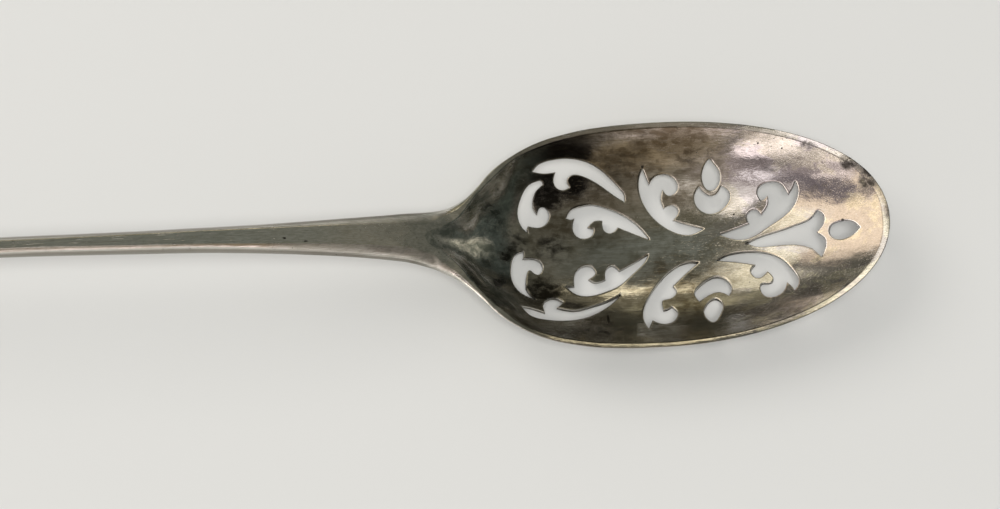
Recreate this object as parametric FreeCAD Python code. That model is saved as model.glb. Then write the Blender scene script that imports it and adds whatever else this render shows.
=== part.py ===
import FreeCAD, Part
import math
import os

# A pierced spoon with a long thin stem, forged in one piece: an oval bowl sawn through
# with scrolls, leaves and buds, a stem that rises out of the heel of the bowl, and a
# small flat spear point at the far end.  Millimetres, +X to the tip of the bowl, +Z up,
# lying on the back of the bowl and on the spear point.

# Driving dimensions
TOTAL_LENGTH = 140.0
BOWL_FRONT = 18.6
HOLLOW_BACK = 18.8
BOWL_WIDTH = 18.8
HOLLOW_DEPTH = 4.6
WALL = 0.6
RIM_LAND = 0.4
EDGE_ROUND = 0.08
TIP_RISE = 1.6
NECK_WIDTH = 3.9
NECK_THICKNESS = 2.3
STEM_WIDTH = 1.64
STEM_THICKNESS = 1.9
STEM_FLAT = 0.6
ARCH_HEIGHT = 10.5
STEM_SET = 1.7
SPEAR_WIDTH = 3.4
SPEAR_THICKNESS = 1.1
POINT_SIZE = 0.3

# How round the bowl is across (2 is a parabola, more is flatter at the bottom) and how
# full its outline is at the tip (2 is an ellipse)
ROUNDNESS = 2.4
FULLNESS = 2.1

# Size of bowl that the piercing pattern is set out on
PATTERN_FRONT = 18.6
PATTERN_BACK = 18.8
PATTERN_WIDTH = 18.8

# Steps along and round the metal
FRONT_STEPS = 10
SIDE_STEPS = 6
HOLLOW_ROWS = 26
HOLLOW_COLUMNS = 9
CUT_REACH = 2.6

HALF = BOWL_WIDTH / 2
RIM_HEIGHT = HOLLOW_DEPTH + WALL
STEM_LENGTH = TOTAL_LENGTH - BOWL_FRONT - HOLLOW_BACK


def back(share):
    """Station behind the widest place of the bowl, as a share of the way to the hollow's end."""
    return -HOLLOW_BACK * share


def stem(share):
    """Station on the stem, as a share of the way from the hollow's end to the spear point."""
    return -HOLLOW_BACK - STEM_LENGTH * share


def smooth(table, x):
    """Value at x of a smooth line through the table's points that never overshoots them."""
    if x <= table[0][0]:
        return table[0][1]
    if x >= table[-1][0]:
        return table[-1][1]
    spans = [b[0] - a[0] for a, b in zip(table, table[1:])]
    rises = [(b[1] - a[1]) / s for a, b, s in zip(table, table[1:], spans)]
    slopes = [rises[0]]
    for i in range(1, len(rises)):
        if rises[i - 1] * rises[i] <= 0:
            slopes.append(0.0)
        else:
            slopes.append(2 / (1 / rises[i - 1] + 1 / rises[i]))
    slopes.append(rises[-1])
    i = max(k for k in range(len(spans)) if table[k][0] <= x)
    t = (x - table[i][0]) / spans[i]
    start, end = table[i][1], table[i + 1][1]
    value = start * (1 + 2 * t) * (1 - t) ** 2 + end * t * t * (3 - 2 * t)
    return value + spans[i] * t * (1 - t) * (slopes[i] * (1 - t) - slopes[i + 1] * t)


# Half width of the spoon behind the widest place, from the spear point to the bowl
HALF_WIDTH = [
    (stem(1.0), POINT_SIZE / 2),
    (stem(0.97), SPEAR_WIDTH * 0.27),
    (stem(0.93), SPEAR_WIDTH * 0.45),
    (stem(0.9), SPEAR_WIDTH / 2),
    (stem(0.885), SPEAR_WIDTH * 0.46),
    (stem(0.872), STEM_WIDTH * 0.47),
    (stem(0.6), STEM_WIDTH * 0.48),
    (stem(0.325), STEM_WIDTH / 2),
    (stem(0.2), STEM_WIDTH * 0.585),
    (stem(0.135), STEM_WIDTH * 0.7),
    (stem(0.082), (STEM_WIDTH * 0.37 + NECK_WIDTH * 0.21)),
    (stem(0.02), NECK_WIDTH / 2),
    (back(0.98), NECK_WIDTH * 0.6),
    (back(0.941), HALF * 0.272),
    (back(0.899), HALF * 0.304),
    (back(0.856), HALF * 0.353),
    (back(0.814), HALF * 0.417),
    (back(0.771), HALF * 0.501),
    (back(0.729), HALF * 0.591),
    (back(0.686), HALF * 0.668),
    (back(0.598), HALF * 0.783),
    (back(0.511), HALF * 0.865),
    (back(0.425), HALF * 0.918),
    (back(0.255), HALF * 0.978),
    (back(0.1), HALF * 0.997),
    (0.0, HALF),
]

# Half width of the flat top of the stem, running out into the rim of the bowl
HALF_FLAT = [
    (stem(1.0), POINT_SIZE * 0.1),
    (stem(0.9), SPEAR_WIDTH * 0.06),
    (stem(0.872), STEM_FLAT * 0.4),
    (stem(0.325), STEM_FLAT / 2),
    (stem(0.2), STEM_FLAT * 0.8),
    (stem(0.082), STEM_FLAT * 0.45 + NECK_WIDTH * 0.12),
    (stem(0.02), NECK_WIDTH * 0.25),
    (back(0.98), NECK_WIDTH * 0.32),
    (back(0.941), HALF * 0.19),
    (back(0.899), HALF * 0.237),
    (back(0.856), HALF * 0.295),
    (back(0.814), HALF * 0.38),
    (back(0.771), HALF * 0.476),
    (back(0.729), HALF * 0.572),
    (back(0.686), HALF * 0.655),
    (back(0.598), HALF * 0.783 - EDGE_ROUND),
]

# Half width of the hollow behind the widest place, at the level of the rim
HALF_HOLLOW = [
    (back(1.0), HALF * 0.02),
    (back(0.984), HALF * 0.055),
    (back(0.941), HALF * 0.098),
    (back(0.899), HALF * 0.155),
    (back(0.856), HALF * 0.23),
    (back(0.814), HALF * 0.333),
    (back(0.771), HALF * 0.447),
    (back(0.729), HALF * 0.53),
    (back(0.686), HALF * 0.606),
    (back(0.598), HALF * 0.783 - RIM_LAND),
    (back(0.511), HALF * 0.865 - RIM_LAND),
    (back(0.425), HALF * 0.918 - RIM_LAND),
    (back(0.255), HALF * 0.978 - RIM_LAND),
    (back(0.1), HALF * 0.997 - RIM_LAND),
    (0.0, HALF - RIM_LAND),
]

# Height of the top line: spear point, arch of the stem, heel, rim and tip
TOP_LINE = [
    (stem(1.0), POINT_SIZE),
    (stem(0.96), SPEAR_THICKNESS * 0.9 + ARCH_HEIGHT * 0.02),
    (stem(0.9), SPEAR_THICKNESS + ARCH_HEIGHT * 0.08),
    (stem(0.83), ARCH_HEIGHT * 0.33),
    (stem(0.72), ARCH_HEIGHT * 0.6),
    (stem(0.53), ARCH_HEIGHT * 0.89),
    (stem(0.33), ARCH_HEIGHT),
    (stem(0.2), ARCH_HEIGHT * 0.985),
    (stem(0.082), RIM_HEIGHT + (ARCH_HEIGHT - RIM_HEIGHT) * 0.74),
    (stem(0.02), RIM_HEIGHT + (ARCH_HEIGHT - RIM_HEIGHT) * 0.47),
    (back(1.0), RIM_HEIGHT + (ARCH_HEIGHT - RIM_HEIGHT) * 0.34),
    (back(0.88), RIM_HEIGHT + (ARCH_HEIGHT - RIM_HEIGHT) * 0.165),
    (back(0.77), RIM_HEIGHT + (ARCH_HEIGHT - RIM_HEIGHT) * 0.065),
    (back(0.6), RIM_HEIGHT + (ARCH_HEIGHT - RIM_HEIGHT) * 0.01),
    (back(0.3), RIM_HEIGHT),
    (0.0, RIM_HEIGHT),
    (BOWL_FRONT * 0.27, RIM_HEIGHT + TIP_RISE * 0.1),
    (BOWL_FRONT * 0.54, RIM_HEIGHT + TIP_RISE * 0.36),
    (BOWL_FRONT * 0.8, RIM_HEIGHT + TIP_RISE * 0.71),
    (BOWL_FRONT * 1.0, RIM_HEIGHT + TIP_RISE),
    (BOWL_FRONT * 1.2, RIM_HEIGHT + TIP_RISE * 1.3),
]

# Whole height of the metal behind the widest place, from the top line down to the back
THICKNESS = [
    (stem(1.0), POINT_SIZE),
    (stem(0.96), SPEAR_THICKNESS * 0.8),
    (stem(0.9), SPEAR_THICKNESS),
    (stem(0.872), STEM_THICKNESS * 0.68),
    (stem(0.6), STEM_THICKNESS * 0.85),
    (stem(0.325), STEM_THICKNESS),
    (stem(0.082), NECK_THICKNESS * 0.93),
    (stem(0.02), NECK_THICKNESS),
    (back(0.941), NECK_THICKNESS * 1.02),
    (back(0.856), NECK_THICKNESS * 0.5 + RIM_HEIGHT * 0.26),
    (back(0.771), RIM_HEIGHT * 0.56),
    (back(0.686), RIM_HEIGHT * 0.69),
    (back(0.598), RIM_HEIGHT * 0.795),
    (back(0.425), RIM_HEIGHT * 0.93),
    (back(0.255), RIM_HEIGHT * 0.985),
    (0.0, RIM_HEIGHT),
]

# Depth of the hollow behind the widest place; past its end the surface runs out of the metal
DEPTH = [
    (back(1.2), HOLLOW_DEPTH * -0.36),
    (back(1.0), HOLLOW_DEPTH * 0.0),
    (back(0.941), HOLLOW_DEPTH * 0.1),
    (back(0.899), HOLLOW_DEPTH * 0.18),
    (back(0.856), HOLLOW_DEPTH * 0.27),
    (back(0.771), HOLLOW_DEPTH * 0.46),
    (back(0.686), HOLLOW_DEPTH * 0.63),
    (back(0.598), HOLLOW_DEPTH * 0.76),
    (back(0.425), HOLLOW_DEPTH * 0.92),
    (back(0.255), HOLLOW_DEPTH * 0.985),
    (0.0, HOLLOW_DEPTH),
]

# Drop from the top line to the widest line of the side
SIDE_DROP = [
    (stem(1.0), POINT_SIZE * 0.5),
    (stem(0.9), SPEAR_THICKNESS * 0.5),
    (stem(0.872), STEM_THICKNESS * 0.42),
    (stem(0.325), STEM_THICKNESS * 0.54),
    (stem(0.02), NECK_THICKNESS * 0.5),
    (back(0.941), NECK_THICKNESS * 0.37),
    (back(0.856), NECK_THICKNESS * 0.2),
    (back(0.771), NECK_THICKNESS * 0.1),
    (back(0.686), EDGE_ROUND * 1.6),
]

# Sideways set of the stem: it leaves the heel a little off the line of the bowl
SIDEWAYS = [
    (stem(1.0), STEM_SET),
    (stem(0.33), STEM_SET * 0.56),
    (stem(0.2), STEM_SET * 0.41),
    (stem(0.082), STEM_SET * 0.35),
    (stem(0.02), STEM_SET * 0.34),
    (back(0.984), STEM_SET * 0.22),
    (back(0.899), STEM_SET * 0.1),
    (back(0.8), 0.0),
    (0.0, 0.0),
]

# How far the section is a bowl (1) rather than a solid rod (0)
BOWL_SHARE = [
    (back(0.97), 0.0),
    (back(0.63), 1.0),
]


def outline_share(reach):
    """Half width of the front of the bowl as a share of its widest, at a share of its reach."""
    return (1 - min(reach, 1.0) ** FULLNESS) ** (1 / FULLNESS)


def half_width(x):
    if x <= 0:
        return smooth(HALF_WIDTH, x)
    return HALF * outline_share(x / BOWL_FRONT)


def thickness(x):
    if x <= 0:
        return smooth(THICKNESS, x)
    edge = 2 * EDGE_ROUND
    return edge + (RIM_HEIGHT - edge) * (1 - (x / BOWL_FRONT) ** FULLNESS)


def half_flat(x):
    if x < back(0.598):
        return smooth(HALF_FLAT, x)
    return max(half_width(x) - EDGE_ROUND, half_width(x) * 0.6)


def half_section(x):
    """Points from the edge of the flat top round the side to the middle of the back."""
    wide = half_width(x)
    flat = half_flat(x)
    top = smooth(TOP_LINE, x)
    drop = min(smooth(SIDE_DROP, x), thickness(x) * 0.5)
    below = thickness(x) - drop
    bowl = smooth(BOWL_SHARE, x)
    points = [(flat, top)]
    points.append((flat + (wide - flat) * 0.5, top - drop * 0.08))
    points.append((flat + (wide - flat) * 0.9, top - drop * 0.42))
    for i in range(SIDE_STEPS + 1):
        turn = math.pi / 2 * i / SIDE_STEPS
        rod = math.sin(turn)
        dish = 1 - math.cos(turn) ** ROUNDNESS
        points.append((wide * math.cos(turn), top - drop - below * (rod + bowl * (dish - rod))))
    return points


def stations():
    """Places along the spoon where its section is set, closer where the shape turns."""
    spear = (1, 0.985, 0.965, 0.94, 0.92, 0.905, 0.895, 0.887, 0.88, 0.874, 0.868, 0.855)
    rod = (0.81, 0.74, 0.66, 0.58, 0.5, 0.42, 0.34, 0.26, 0.2, 0.15, 0.11, 0.08, 0.055, 0.035, 0.015)
    heel = (1, 0.95, 0.9, 0.86, 0.82, 0.78, 0.74, 0.7, 0.64, 0.56, 0.46, 0.34, 0.2, 0.08)
    found = [stem(share) for share in spear + rod] + [back(share) for share in heel]
    for i in range(FRONT_STEPS + 1):
        found.append(BOWL_FRONT * math.sin(math.radians(88.6) * i / FRONT_STEPS))
    return found


def knots(count):
    """Clamped knots and their multiplicities for a cubic line over this many points."""
    inner = count - 4
    values = [float(i) for i in range(inner + 2)]
    return values, [4] + [1] * inner + [4]


def skin(net, cuts_along, cuts_across):
    """Smooth faces over a net of points, rows along the spoon, parted at the given knots.

    A net of two columns is straight across."""
    along, along_mults = knots(len(net))
    straight = len(net[0]) == 2
    across, across_mults = ([0.0, 1.0], [2, 2]) if straight else knots(len(net[0]))
    surface = Part.BSplineSurface()
    surface.buildFromPolesMultsKnots(
        net, along_mults, across_mults, along, across, False, False, 3, 1 if straight else 3)
    faces = []
    for low, high in zip(cuts_along, cuts_along[1:]):
        for left, right in zip(cuts_across, cuts_across[1:]):
            piece = surface.copy()
            piece.segment(low, high, left, right)
            faces.append(piece.toShape())
    return faces


def blank():
    """The solid spoon before it is hollowed: flat top, rounded sides and back."""
    round_net = []
    flat_net = []
    for x in stations():
        side = smooth(SIDEWAYS, x)
        half = half_section(x)
        left = [FreeCAD.Vector(x, side + y, z) for y, z in half]
        right = [FreeCAD.Vector(x, side - y, z) for y, z in reversed(half[:-1])]
        round_net.append(left + right)
        flat_net.append([left[0], right[-1]])
    tip = len(round_net) - 3
    heel = tip - FRONT_STEPS - 12
    brim = len(round_net[0]) - 3
    cuts = [0, 11, 24, heel]
    faces = skin(round_net, cuts, range(brim + 1))
    faces += skin(round_net, [heel, tip], [0, 1, 2, 3, brim - 3, brim - 2, brim - 1, brim])
    faces += skin(flat_net, cuts + [tip], [0, 1])
    shell = Part.makeShell(faces)
    shell.sewShape()
    for row in (0, -1):
        rim = [edge for edge in shell.Edges if is_end_edge(edge, round_net[row][0].x)]
        faces.append(Part.Face(Part.Wire(Part.sortEdges(rim)[0])))
    shell = Part.makeShell(faces)
    shell.sewShape()
    body = Part.Solid(shell)
    if body.Volume < 0:
        body.reverse()
    return body


def is_end_edge(edge, x):
    box = edge.BoundBox
    return abs(box.XMin - x) < 1e-4 and abs(box.XMax - x) < 1e-4


def hollow_height(x, y):
    """Height of the inner surface of the bowl, running out gently past the rim all round."""
    if x > 0:
        reach = x / (BOWL_FRONT - RIM_LAND)
        depth = HOLLOW_DEPTH * (1 - reach ** FULLNESS)
        held = min(reach, 0.94)
        half = (HALF - RIM_LAND) * outline_share(held)
        steep = HOLLOW_DEPTH * (1 - held ** FULLNESS) / half ** ROUNDNESS
    else:
        depth = smooth(DEPTH, x)
        held = max(x, back(0.97))
        steep = smooth(DEPTH, held) / smooth(HALF_HOLLOW, held) ** ROUNDNESS
    off = abs(y - smooth(SIDEWAYS, x))
    over = steep * off ** ROUNDNESS - depth
    if over > 0:
        over = over / (1 + over / WALL)
    return smooth(TOP_LINE, x) + over


def hollow_tool():
    """Everything above the inner surface of the bowl."""
    start = back(1.18)
    end = BOWL_FRONT * 1.12
    net = []
    for i in range(HOLLOW_ROWS + 1):
        x = start + (end - start) * i / HOLLOW_ROWS
        line = []
        for j in range(-HOLLOW_COLUMNS, HOLLOW_COLUMNS + 1):
            s = j / HOLLOW_COLUMNS
            y = HALF * 1.2 * s * (0.4 + 0.6 * s * s)
            line.append(FreeCAD.Vector(x, y, hollow_height(x, y)))
        net.append(line)
    surface = Part.BSplineSurface()
    surface.interpolate(net)
    return surface.toShape().extrude(FreeCAD.Vector(0, 0, ARCH_HEIGHT * 2))


# Sawn openings, set out on the inner surface of the bowl: X from the widest place and Y
# from the line of the bowl.  Each run of points is a smooth line that starts at a sharp
# corner and ends at the first point of the next run; a single run closes on itself.
PIERCINGS = [
    # long scroll and comma at the upper left
    [[(-9.8, 6.2), (-9.4, 6.6), (-8.7, 6.9), (-7.4, 7.1), (-5.9, 7.0), (-4.4, 6.4), (-3.1, 5.3), (-2.3, 4.3)],
     [(-2.3, 3.8), (-3.2, 4.4), (-4.3, 5.2), (-5.4, 5.8), (-6.5, 6.0), (-7.0, 5.6)],
     [(-6.8, 5.1), (-7.4, 4.9), (-7.9, 5.1), (-8.1, 5.6)],
     [(-7.9, 6.2), (-8.9, 6.1)]],
    [[(-9.2, 5.6), (-10.2, 5.2), (-10.9, 4.2), (-11.2, 3.0), (-10.9, 2.0)],
     [(-10.4, 1.5), (-10.5, 1.8)],
     [(-10.4, 2.1), (-9.5, 2.0), (-8.8, 2.4), (-8.6, 3.1), (-9.0, 3.6), (-9.4, 3.5)],
     [(-9.6, 3.0), (-9.9, 3.5), (-9.9, 4.1), (-9.6, 4.8)],
     [(-9.0, 5.3), (-9.05, 5.5)]],
    # inner scroll above the middle
    [[(-7.2, 2.7), (-6.8, 3.3), (-6.0, 3.6), (-5.0, 3.7), (-3.9, 3.4), (-2.6, 2.8), (-1.3, 1.8)],
     [(-0.4, 0.6), (-1.5, 1.1)],
     [(-3.0, 1.8), (-3.4, 1.4), (-3.9, 1.4), (-4.2, 1.8)],
     [(-4.2, 2.4), (-4.9, 2.4)],
     [(-5.5, 1.9), (-5.2, 1.8)],
     [(-5.0, 1.8), (-5.1, 1.3), (-5.8, 1.0), (-6.5, 1.3), (-6.7, 2.0)],
     [(-6.5, 2.7), (-6.8, 2.6)]],
    # comma and inner scroll below the middle
    [[(-10.9, 0.0), (-11.6, -0.3), (-12.0, -1.3), (-12.0, -2.5), (-11.4, -3.6)],
     [(-10.1, -4.3), (-10.6, -3.8)],
     [(-10.9, -3.2), (-10.8, -2.1), (-10.5, -1.6), (-9.9, -2.0), (-9.4, -1.4), (-9.8, -0.7)],
     [(-11.0, -0.6), (-10.9, -0.3)]],
    [[(-0.6, -0.6), (-1.0, -1.3), (-2.1, -2.3), (-3.2, -3.2), (-4.4, -3.7), (-5.7, -4.0), (-6.8, -3.8)],
     [(-7.6, -3.1), (-7.2, -3.1)],
     [(-6.9, -3.1), (-6.8, -2.1), (-6.2, -1.4), (-5.4, -1.4), (-5.1, -2.0)],
     [(-5.7, -2.5), (-5.2, -2.8)],
     [(-4.3, -2.6), (-4.2, -1.8), (-3.7, -1.4)],
     [(-3.1, -1.9), (-1.9, -1.3)]],
    # long scroll at the lower left
    [[(-11.4, -4.9), (-10.7, -5.8), (-9.4, -6.2), (-8.0, -6.3), (-6.4, -6.1), (-4.8, -5.4), (-3.7, -4.6)],
     [(-3.1, -4.0), (-4.4, -4.6), (-5.7, -5.0), (-7.1, -5.3)],
     [(-8.5, -5.0), (-8.2, -4.8)],
     [(-7.9, -4.5), (-8.7, -4.1), (-9.4, -4.4), (-9.6, -4.9)],
     [(-9.5, -5.5), (-10.5, -5.1)]],
    # leaf left of the buds, above the middle
    [[(-0.7, 6.2), (-1.0, 5.5), (-1.0, 4.4), (-0.6, 3.3), (0.2, 2.2), (1.5, 1.2), (2.9, 0.8)],
     [(4.1, 1.2), (2.9, 1.6)],
     [(1.6, 2.1), (2.1, 2.8), (1.7, 3.3)],
     [(0.9, 3.1), (0.7, 3.9)],
     [(0.9, 4.6), (1.4, 4.1), (2.1, 4.5), (1.9, 5.3), (1.0, 5.7), (0.2, 5.5)],
     [(-0.2, 5.0), (-0.5, 5.7)]],
    # bud and the crescent under it, above the middle
    [[(4.8, 6.5), (5.1, 6.2), (5.5, 5.7), (5.6, 4.9), (5.2, 4.3), (4.6, 4.3), (4.2, 5.0), (4.3, 5.9)]],
    [[(3.9, 4.6), (4.3, 4.1), (4.9, 3.8), (5.4, 4.0)],
     [(5.7, 4.5), (6.3, 4.0), (6.3, 3.3), (5.6, 2.6), (4.6, 2.4), (3.7, 3.0), (3.5, 3.9)]],
    # leaf right of the buds, above the middle
    [[(5.3, 0.6), (6.4, 0.1), (7.7, 0.0), (9.2, 0.7), (10.5, 1.4), (11.4, 2.2), (11.8, 3.3)],
     [(11.6, 4.1), (11.4, 3.6)],
     [(11.0, 3.1), (10.5, 4.0), (9.8, 4.3), (9.0, 4.2), (8.6, 3.7), (8.9, 3.0)],
     [(9.4, 3.3), (9.4, 2.6)],
     [(8.8, 1.8), (8.3, 2.3), (7.7, 2.0)],
     [(7.8, 1.2), (6.6, 0.9)]],
    # leaf left of the buds, below the middle
    [[(3.5, -1.6), (2.6, -1.5), (1.3, -2.0), (0.0, -3.2), (-1.1, -4.8), (-1.5, -6.3)],
     [(-1.2, -7.4), (-1.0, -7.0)],
     [(-0.8, -6.6), (0.0, -7.0), (0.9, -6.8), (1.3, -6.0)],
     [(0.9, -5.4), (0.6, -5.6)],
     [(0.2, -5.7), (0.2, -4.8), (0.9, -4.6), (1.4, -4.1)],
     [(1.2, -3.5), (2.2, -2.6)]],
    # crescent and bud, below the middle
    [[(3.2, -5.1), (2.9, -4.3), (3.6, -3.5), (4.7, -3.0), (5.6, -3.4), (5.9, -4.2)],
     [(5.6, -4.8), (4.9, -4.4), (4.0, -4.6)]],
    [[(4.1, -5.1), (4.6, -5.0), (5.0, -5.6), (4.7, -6.5), (4.1, -7.2), (3.6, -6.8), (3.5, -5.9)]],
    # leaf right of the buds, below the middle
    [[(4.9, -1.6), (5.8, -1.2), (7.3, -1.1), (8.9, -1.4), (10.1, -2.1), (10.8, -3.1), (11.2, -4.3)],
     [(10.8, -5.0), (10.6, -4.6)],
     [(10.3, -4.2), (9.9, -5.0), (9.0, -5.4), (8.3, -5.0), (8.3, -4.1), (9.0, -4.1), (9.3, -3.7)],
     [(8.9, -3.0), (8.1, -3.5), (7.6, -2.9)],
     [(8.0, -2.3), (6.5, -1.9)]],
    # trumpet on the line of the bowl and the oval at its end
    [[(7.5, -0.4), (8.6, 0.0), (10.2, 0.3), (11.6, 0.6), (12.6, 0.9)],
     [(13.2, 1.5), (13.6, 1.1), (13.6, 0.4)],
     [(13.0, -0.3), (13.6, -1.0), (13.5, -1.8)],
     [(13.2, -2.4), (12.9, -2.0)],
     [(12.6, -1.6), (11.5, -1.1), (9.7, -0.9), (8.3, -0.8)]],
    [[(14.0, -0.4), (14.2, 0.1), (15.0, 0.3), (15.8, 0.1)],
     [(16.3, -0.5), (15.7, -1.0), (14.7, -1.2), (14.1, -0.8)]],
]


def on_hollow(point):
    """Place on the inner surface of a point of the pattern, fitted to this bowl's size."""
    length = BOWL_FRONT / PATTERN_FRONT if point[0] > 0 else HOLLOW_BACK / PATTERN_BACK
    x = point[0] * length
    y = point[1] * BOWL_WIDTH / PATTERN_WIDTH
    return FreeCAD.Vector(x, y, hollow_height(x, y))


def saw_cut(runs):
    """Solid left by the saw blade, held square to the metal at the middle of the opening."""
    placed = [[on_hollow(point) for point in run] for run in runs]
    corners = [point for run in placed for point in run]
    middle = sum(corners, FreeCAD.Vector()) * (1 / len(corners))
    step = WALL
    along = FreeCAD.Vector(2 * step, 0, hollow_height(middle.x + step, middle.y)
                           - hollow_height(middle.x - step, middle.y))
    across = FreeCAD.Vector(0, 2 * step, hollow_height(middle.x, middle.y + step)
                            - hollow_height(middle.x, middle.y - step))
    square = along.cross(across).normalize()
    flat = [[point - square * (point - middle).dot(square) for point in run] for run in placed]
    edges = []
    if len(flat) == 1:
        curve = Part.BSplineCurve()
        curve.interpolate(Points=flat[0], PeriodicFlag=True)
        edges.append(curve.toShape())
    else:
        for run, after in zip(flat, flat[1:] + flat[:1]):
            curve = Part.BSplineCurve()
            curve.interpolate(Points=run + [after[0]])
            edges.append(curve.toShape())
    face = Part.Face(Part.Wire(edges))
    face.translate(square * -CUT_REACH)
    return face.extrude(square * 2 * CUT_REACH)


def spoon():
    """The finished spoon, with the middle of its box at X and Y zero and its back at Z zero."""
    solid = blank().cut(hollow_tool())
    solid = solid.cut([saw_cut(runs) for runs in PIERCINGS])
    solid = solid.Solids[0]
    box = solid.optimalBoundingBox()
    solid.translate(FreeCAD.Vector(-box.Center.x, -box.Center.y, -box.ZMin))
    return solid


if __name__ == "__main__":
    os.makedirs("parts", exist_ok=True)
    spoon().exportStep("parts/mote_spoon.step")
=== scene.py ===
import logging
import math
from collections.abc import Callable
from dataclasses import dataclass, field
from enum import Enum

import bpy
import numpy as np
from mathutils import Matrix, Vector
from mathutils.geometry import delaunay_2d_cdt

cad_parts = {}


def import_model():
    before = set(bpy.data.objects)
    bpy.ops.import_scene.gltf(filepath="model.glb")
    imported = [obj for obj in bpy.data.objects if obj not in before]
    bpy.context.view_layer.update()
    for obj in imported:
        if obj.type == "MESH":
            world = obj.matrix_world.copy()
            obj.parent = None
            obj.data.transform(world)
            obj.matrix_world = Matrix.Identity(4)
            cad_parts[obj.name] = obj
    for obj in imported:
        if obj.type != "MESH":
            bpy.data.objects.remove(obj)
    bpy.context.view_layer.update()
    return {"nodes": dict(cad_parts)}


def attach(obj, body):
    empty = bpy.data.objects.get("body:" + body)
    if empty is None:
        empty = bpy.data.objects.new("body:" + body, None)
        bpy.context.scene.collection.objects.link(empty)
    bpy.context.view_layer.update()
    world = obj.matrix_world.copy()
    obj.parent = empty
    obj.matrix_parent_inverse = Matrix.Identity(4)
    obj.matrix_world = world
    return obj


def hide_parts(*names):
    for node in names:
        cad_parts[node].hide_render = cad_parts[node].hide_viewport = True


# A pierced silver spoon with a long thin stem, lying on a pale table.  The shapes are
# worked out in millimetres, with X zero at the widest place of the bowl, and moved into
# the frame's metres when a mesh is made.

MM = 0.001
IMAGE_WIDTH = 1000
TINY = 1e-9
NUDGE = 1e-4  # step along the bowl, as a share, for measuring a slope
SPLINE_STEPS = 24  # points worked out between two given ones, before they are spaced evenly

# Places on the heel as shares of the hollow's back, and then half widths of the bowl from
# there to its widest line, as shares of the widest.
HEEL_SHARES = (0.941, 0.899, 0.856, 0.814, 0.771, 0.729, 0.686)
BOWL_WIDTHS = ((0.598, 0.783), (0.511, 0.865), (0.425, 0.918), (0.255, 0.978),
               (0.1, 0.997), (0.0, 1.0))
RIM_SHARE = BOWL_WIDTHS[0][0]

# Spans along the bowl in millimetres, from where a change begins to where it is complete.
RIM_SLOPES = (-13.0, -9.0)
HEEL_SOFTENS = (-12.0, -16.0)
RIM_DARKENS = (-8.0, -2.0)
HANDS_RUB = (-17.0, -8.0)
CROWN_LENGTH = 3.0

# Rows of points: on the edge of an opening as shares of its rounding; inside the rim, and
# beside both edges of its flat, in millimetres; and down a sawn wall as (share, wear).  A
# point that comes nearer to another edge than to its own is left out.
ROUND_ROWS = (0.12, 0.3, 0.6, 1.0, 1.7)
INNER_ROWS = (0.07, 0.15, 0.28)
RING_ROWS = (0.06, 0.16, 0.28)
OUTER_ROWS = (0.03, 0.08, 0.18)
WALL_ROWS = ((0.12, 0.3), (0.5, 0.0), (0.88, 0.0))
GRID_ROW = 0.866  # height of a triangle with equal sides of 1

# Steps over a rounded side, across the flat top, round the back, and along the spoon.
EDGE_STEPS = [i / 8 for i in range(9)]
TOP_SHARES = (-1.0, -0.9, -0.5, 0.0, 0.5, 0.9, 1.0)
UNDER_STEPS = 32
SPEAR_STEPS = 120
ROD_STEPS = 190
STEM_STEPS = 60
NECK_STEPS = 44
HEEL_STEPS = 14
HOLLOW_STEPS = 110
SIDE_STEPS = 70
FRONT_STEPS = 110
STEM_WEAR = 0.35

log = logging.getLogger("spoon")


class Side(Enum):
    """The two faces of the sheet metal of the bowl."""

    INSIDE = 1
    BACK = -1


class Wave(Enum):
    """Noise settings by what they draw: (detail, roughness, distortion)."""

    SOFT = (2.0, 0.45, 0.0)
    CLOUDY = (7.0, 0.62, 0.35)
    GRAINY = (10.0, 0.75, 0.0)


def smooth(table: list, x: float) -> float:
    """Value of a smooth line through points that never overshoots them.

    Args:
        table: (place, value) pairs in rising order of place.
        x: the place that is wanted.

    Returns:
        The value at x, held flat past both ends.
    """
    if x <= table[0][0]:
        return table[0][1]
    if x >= table[-1][0]:
        return table[-1][1]
    spans = [b[0] - a[0] for a, b in zip(table, table[1:])]
    rises = [(b[1] - a[1]) / s for a, b, s in zip(table, table[1:], spans)]
    slopes = [rises[0]]
    for i in range(1, len(rises)):
        if rises[i - 1] * rises[i] <= 0:
            slopes.append(0.0)
        else:
            slopes.append(2 / (1 / rises[i - 1] + 1 / rises[i]))
    slopes.append(rises[-1])
    i = max(k for k in range(len(spans)) if table[k][0] <= x)
    t = (x - table[i][0]) / spans[i]
    start, end = table[i][1], table[i + 1][1]
    value = start * (1 + 2 * t) * (1 - t) ** 2 + end * t * t * (3 - 2 * t)
    return value + spans[i] * t * (1 - t) * (slopes[i] * (1 - t) - slopes[i + 1] * t)


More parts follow.
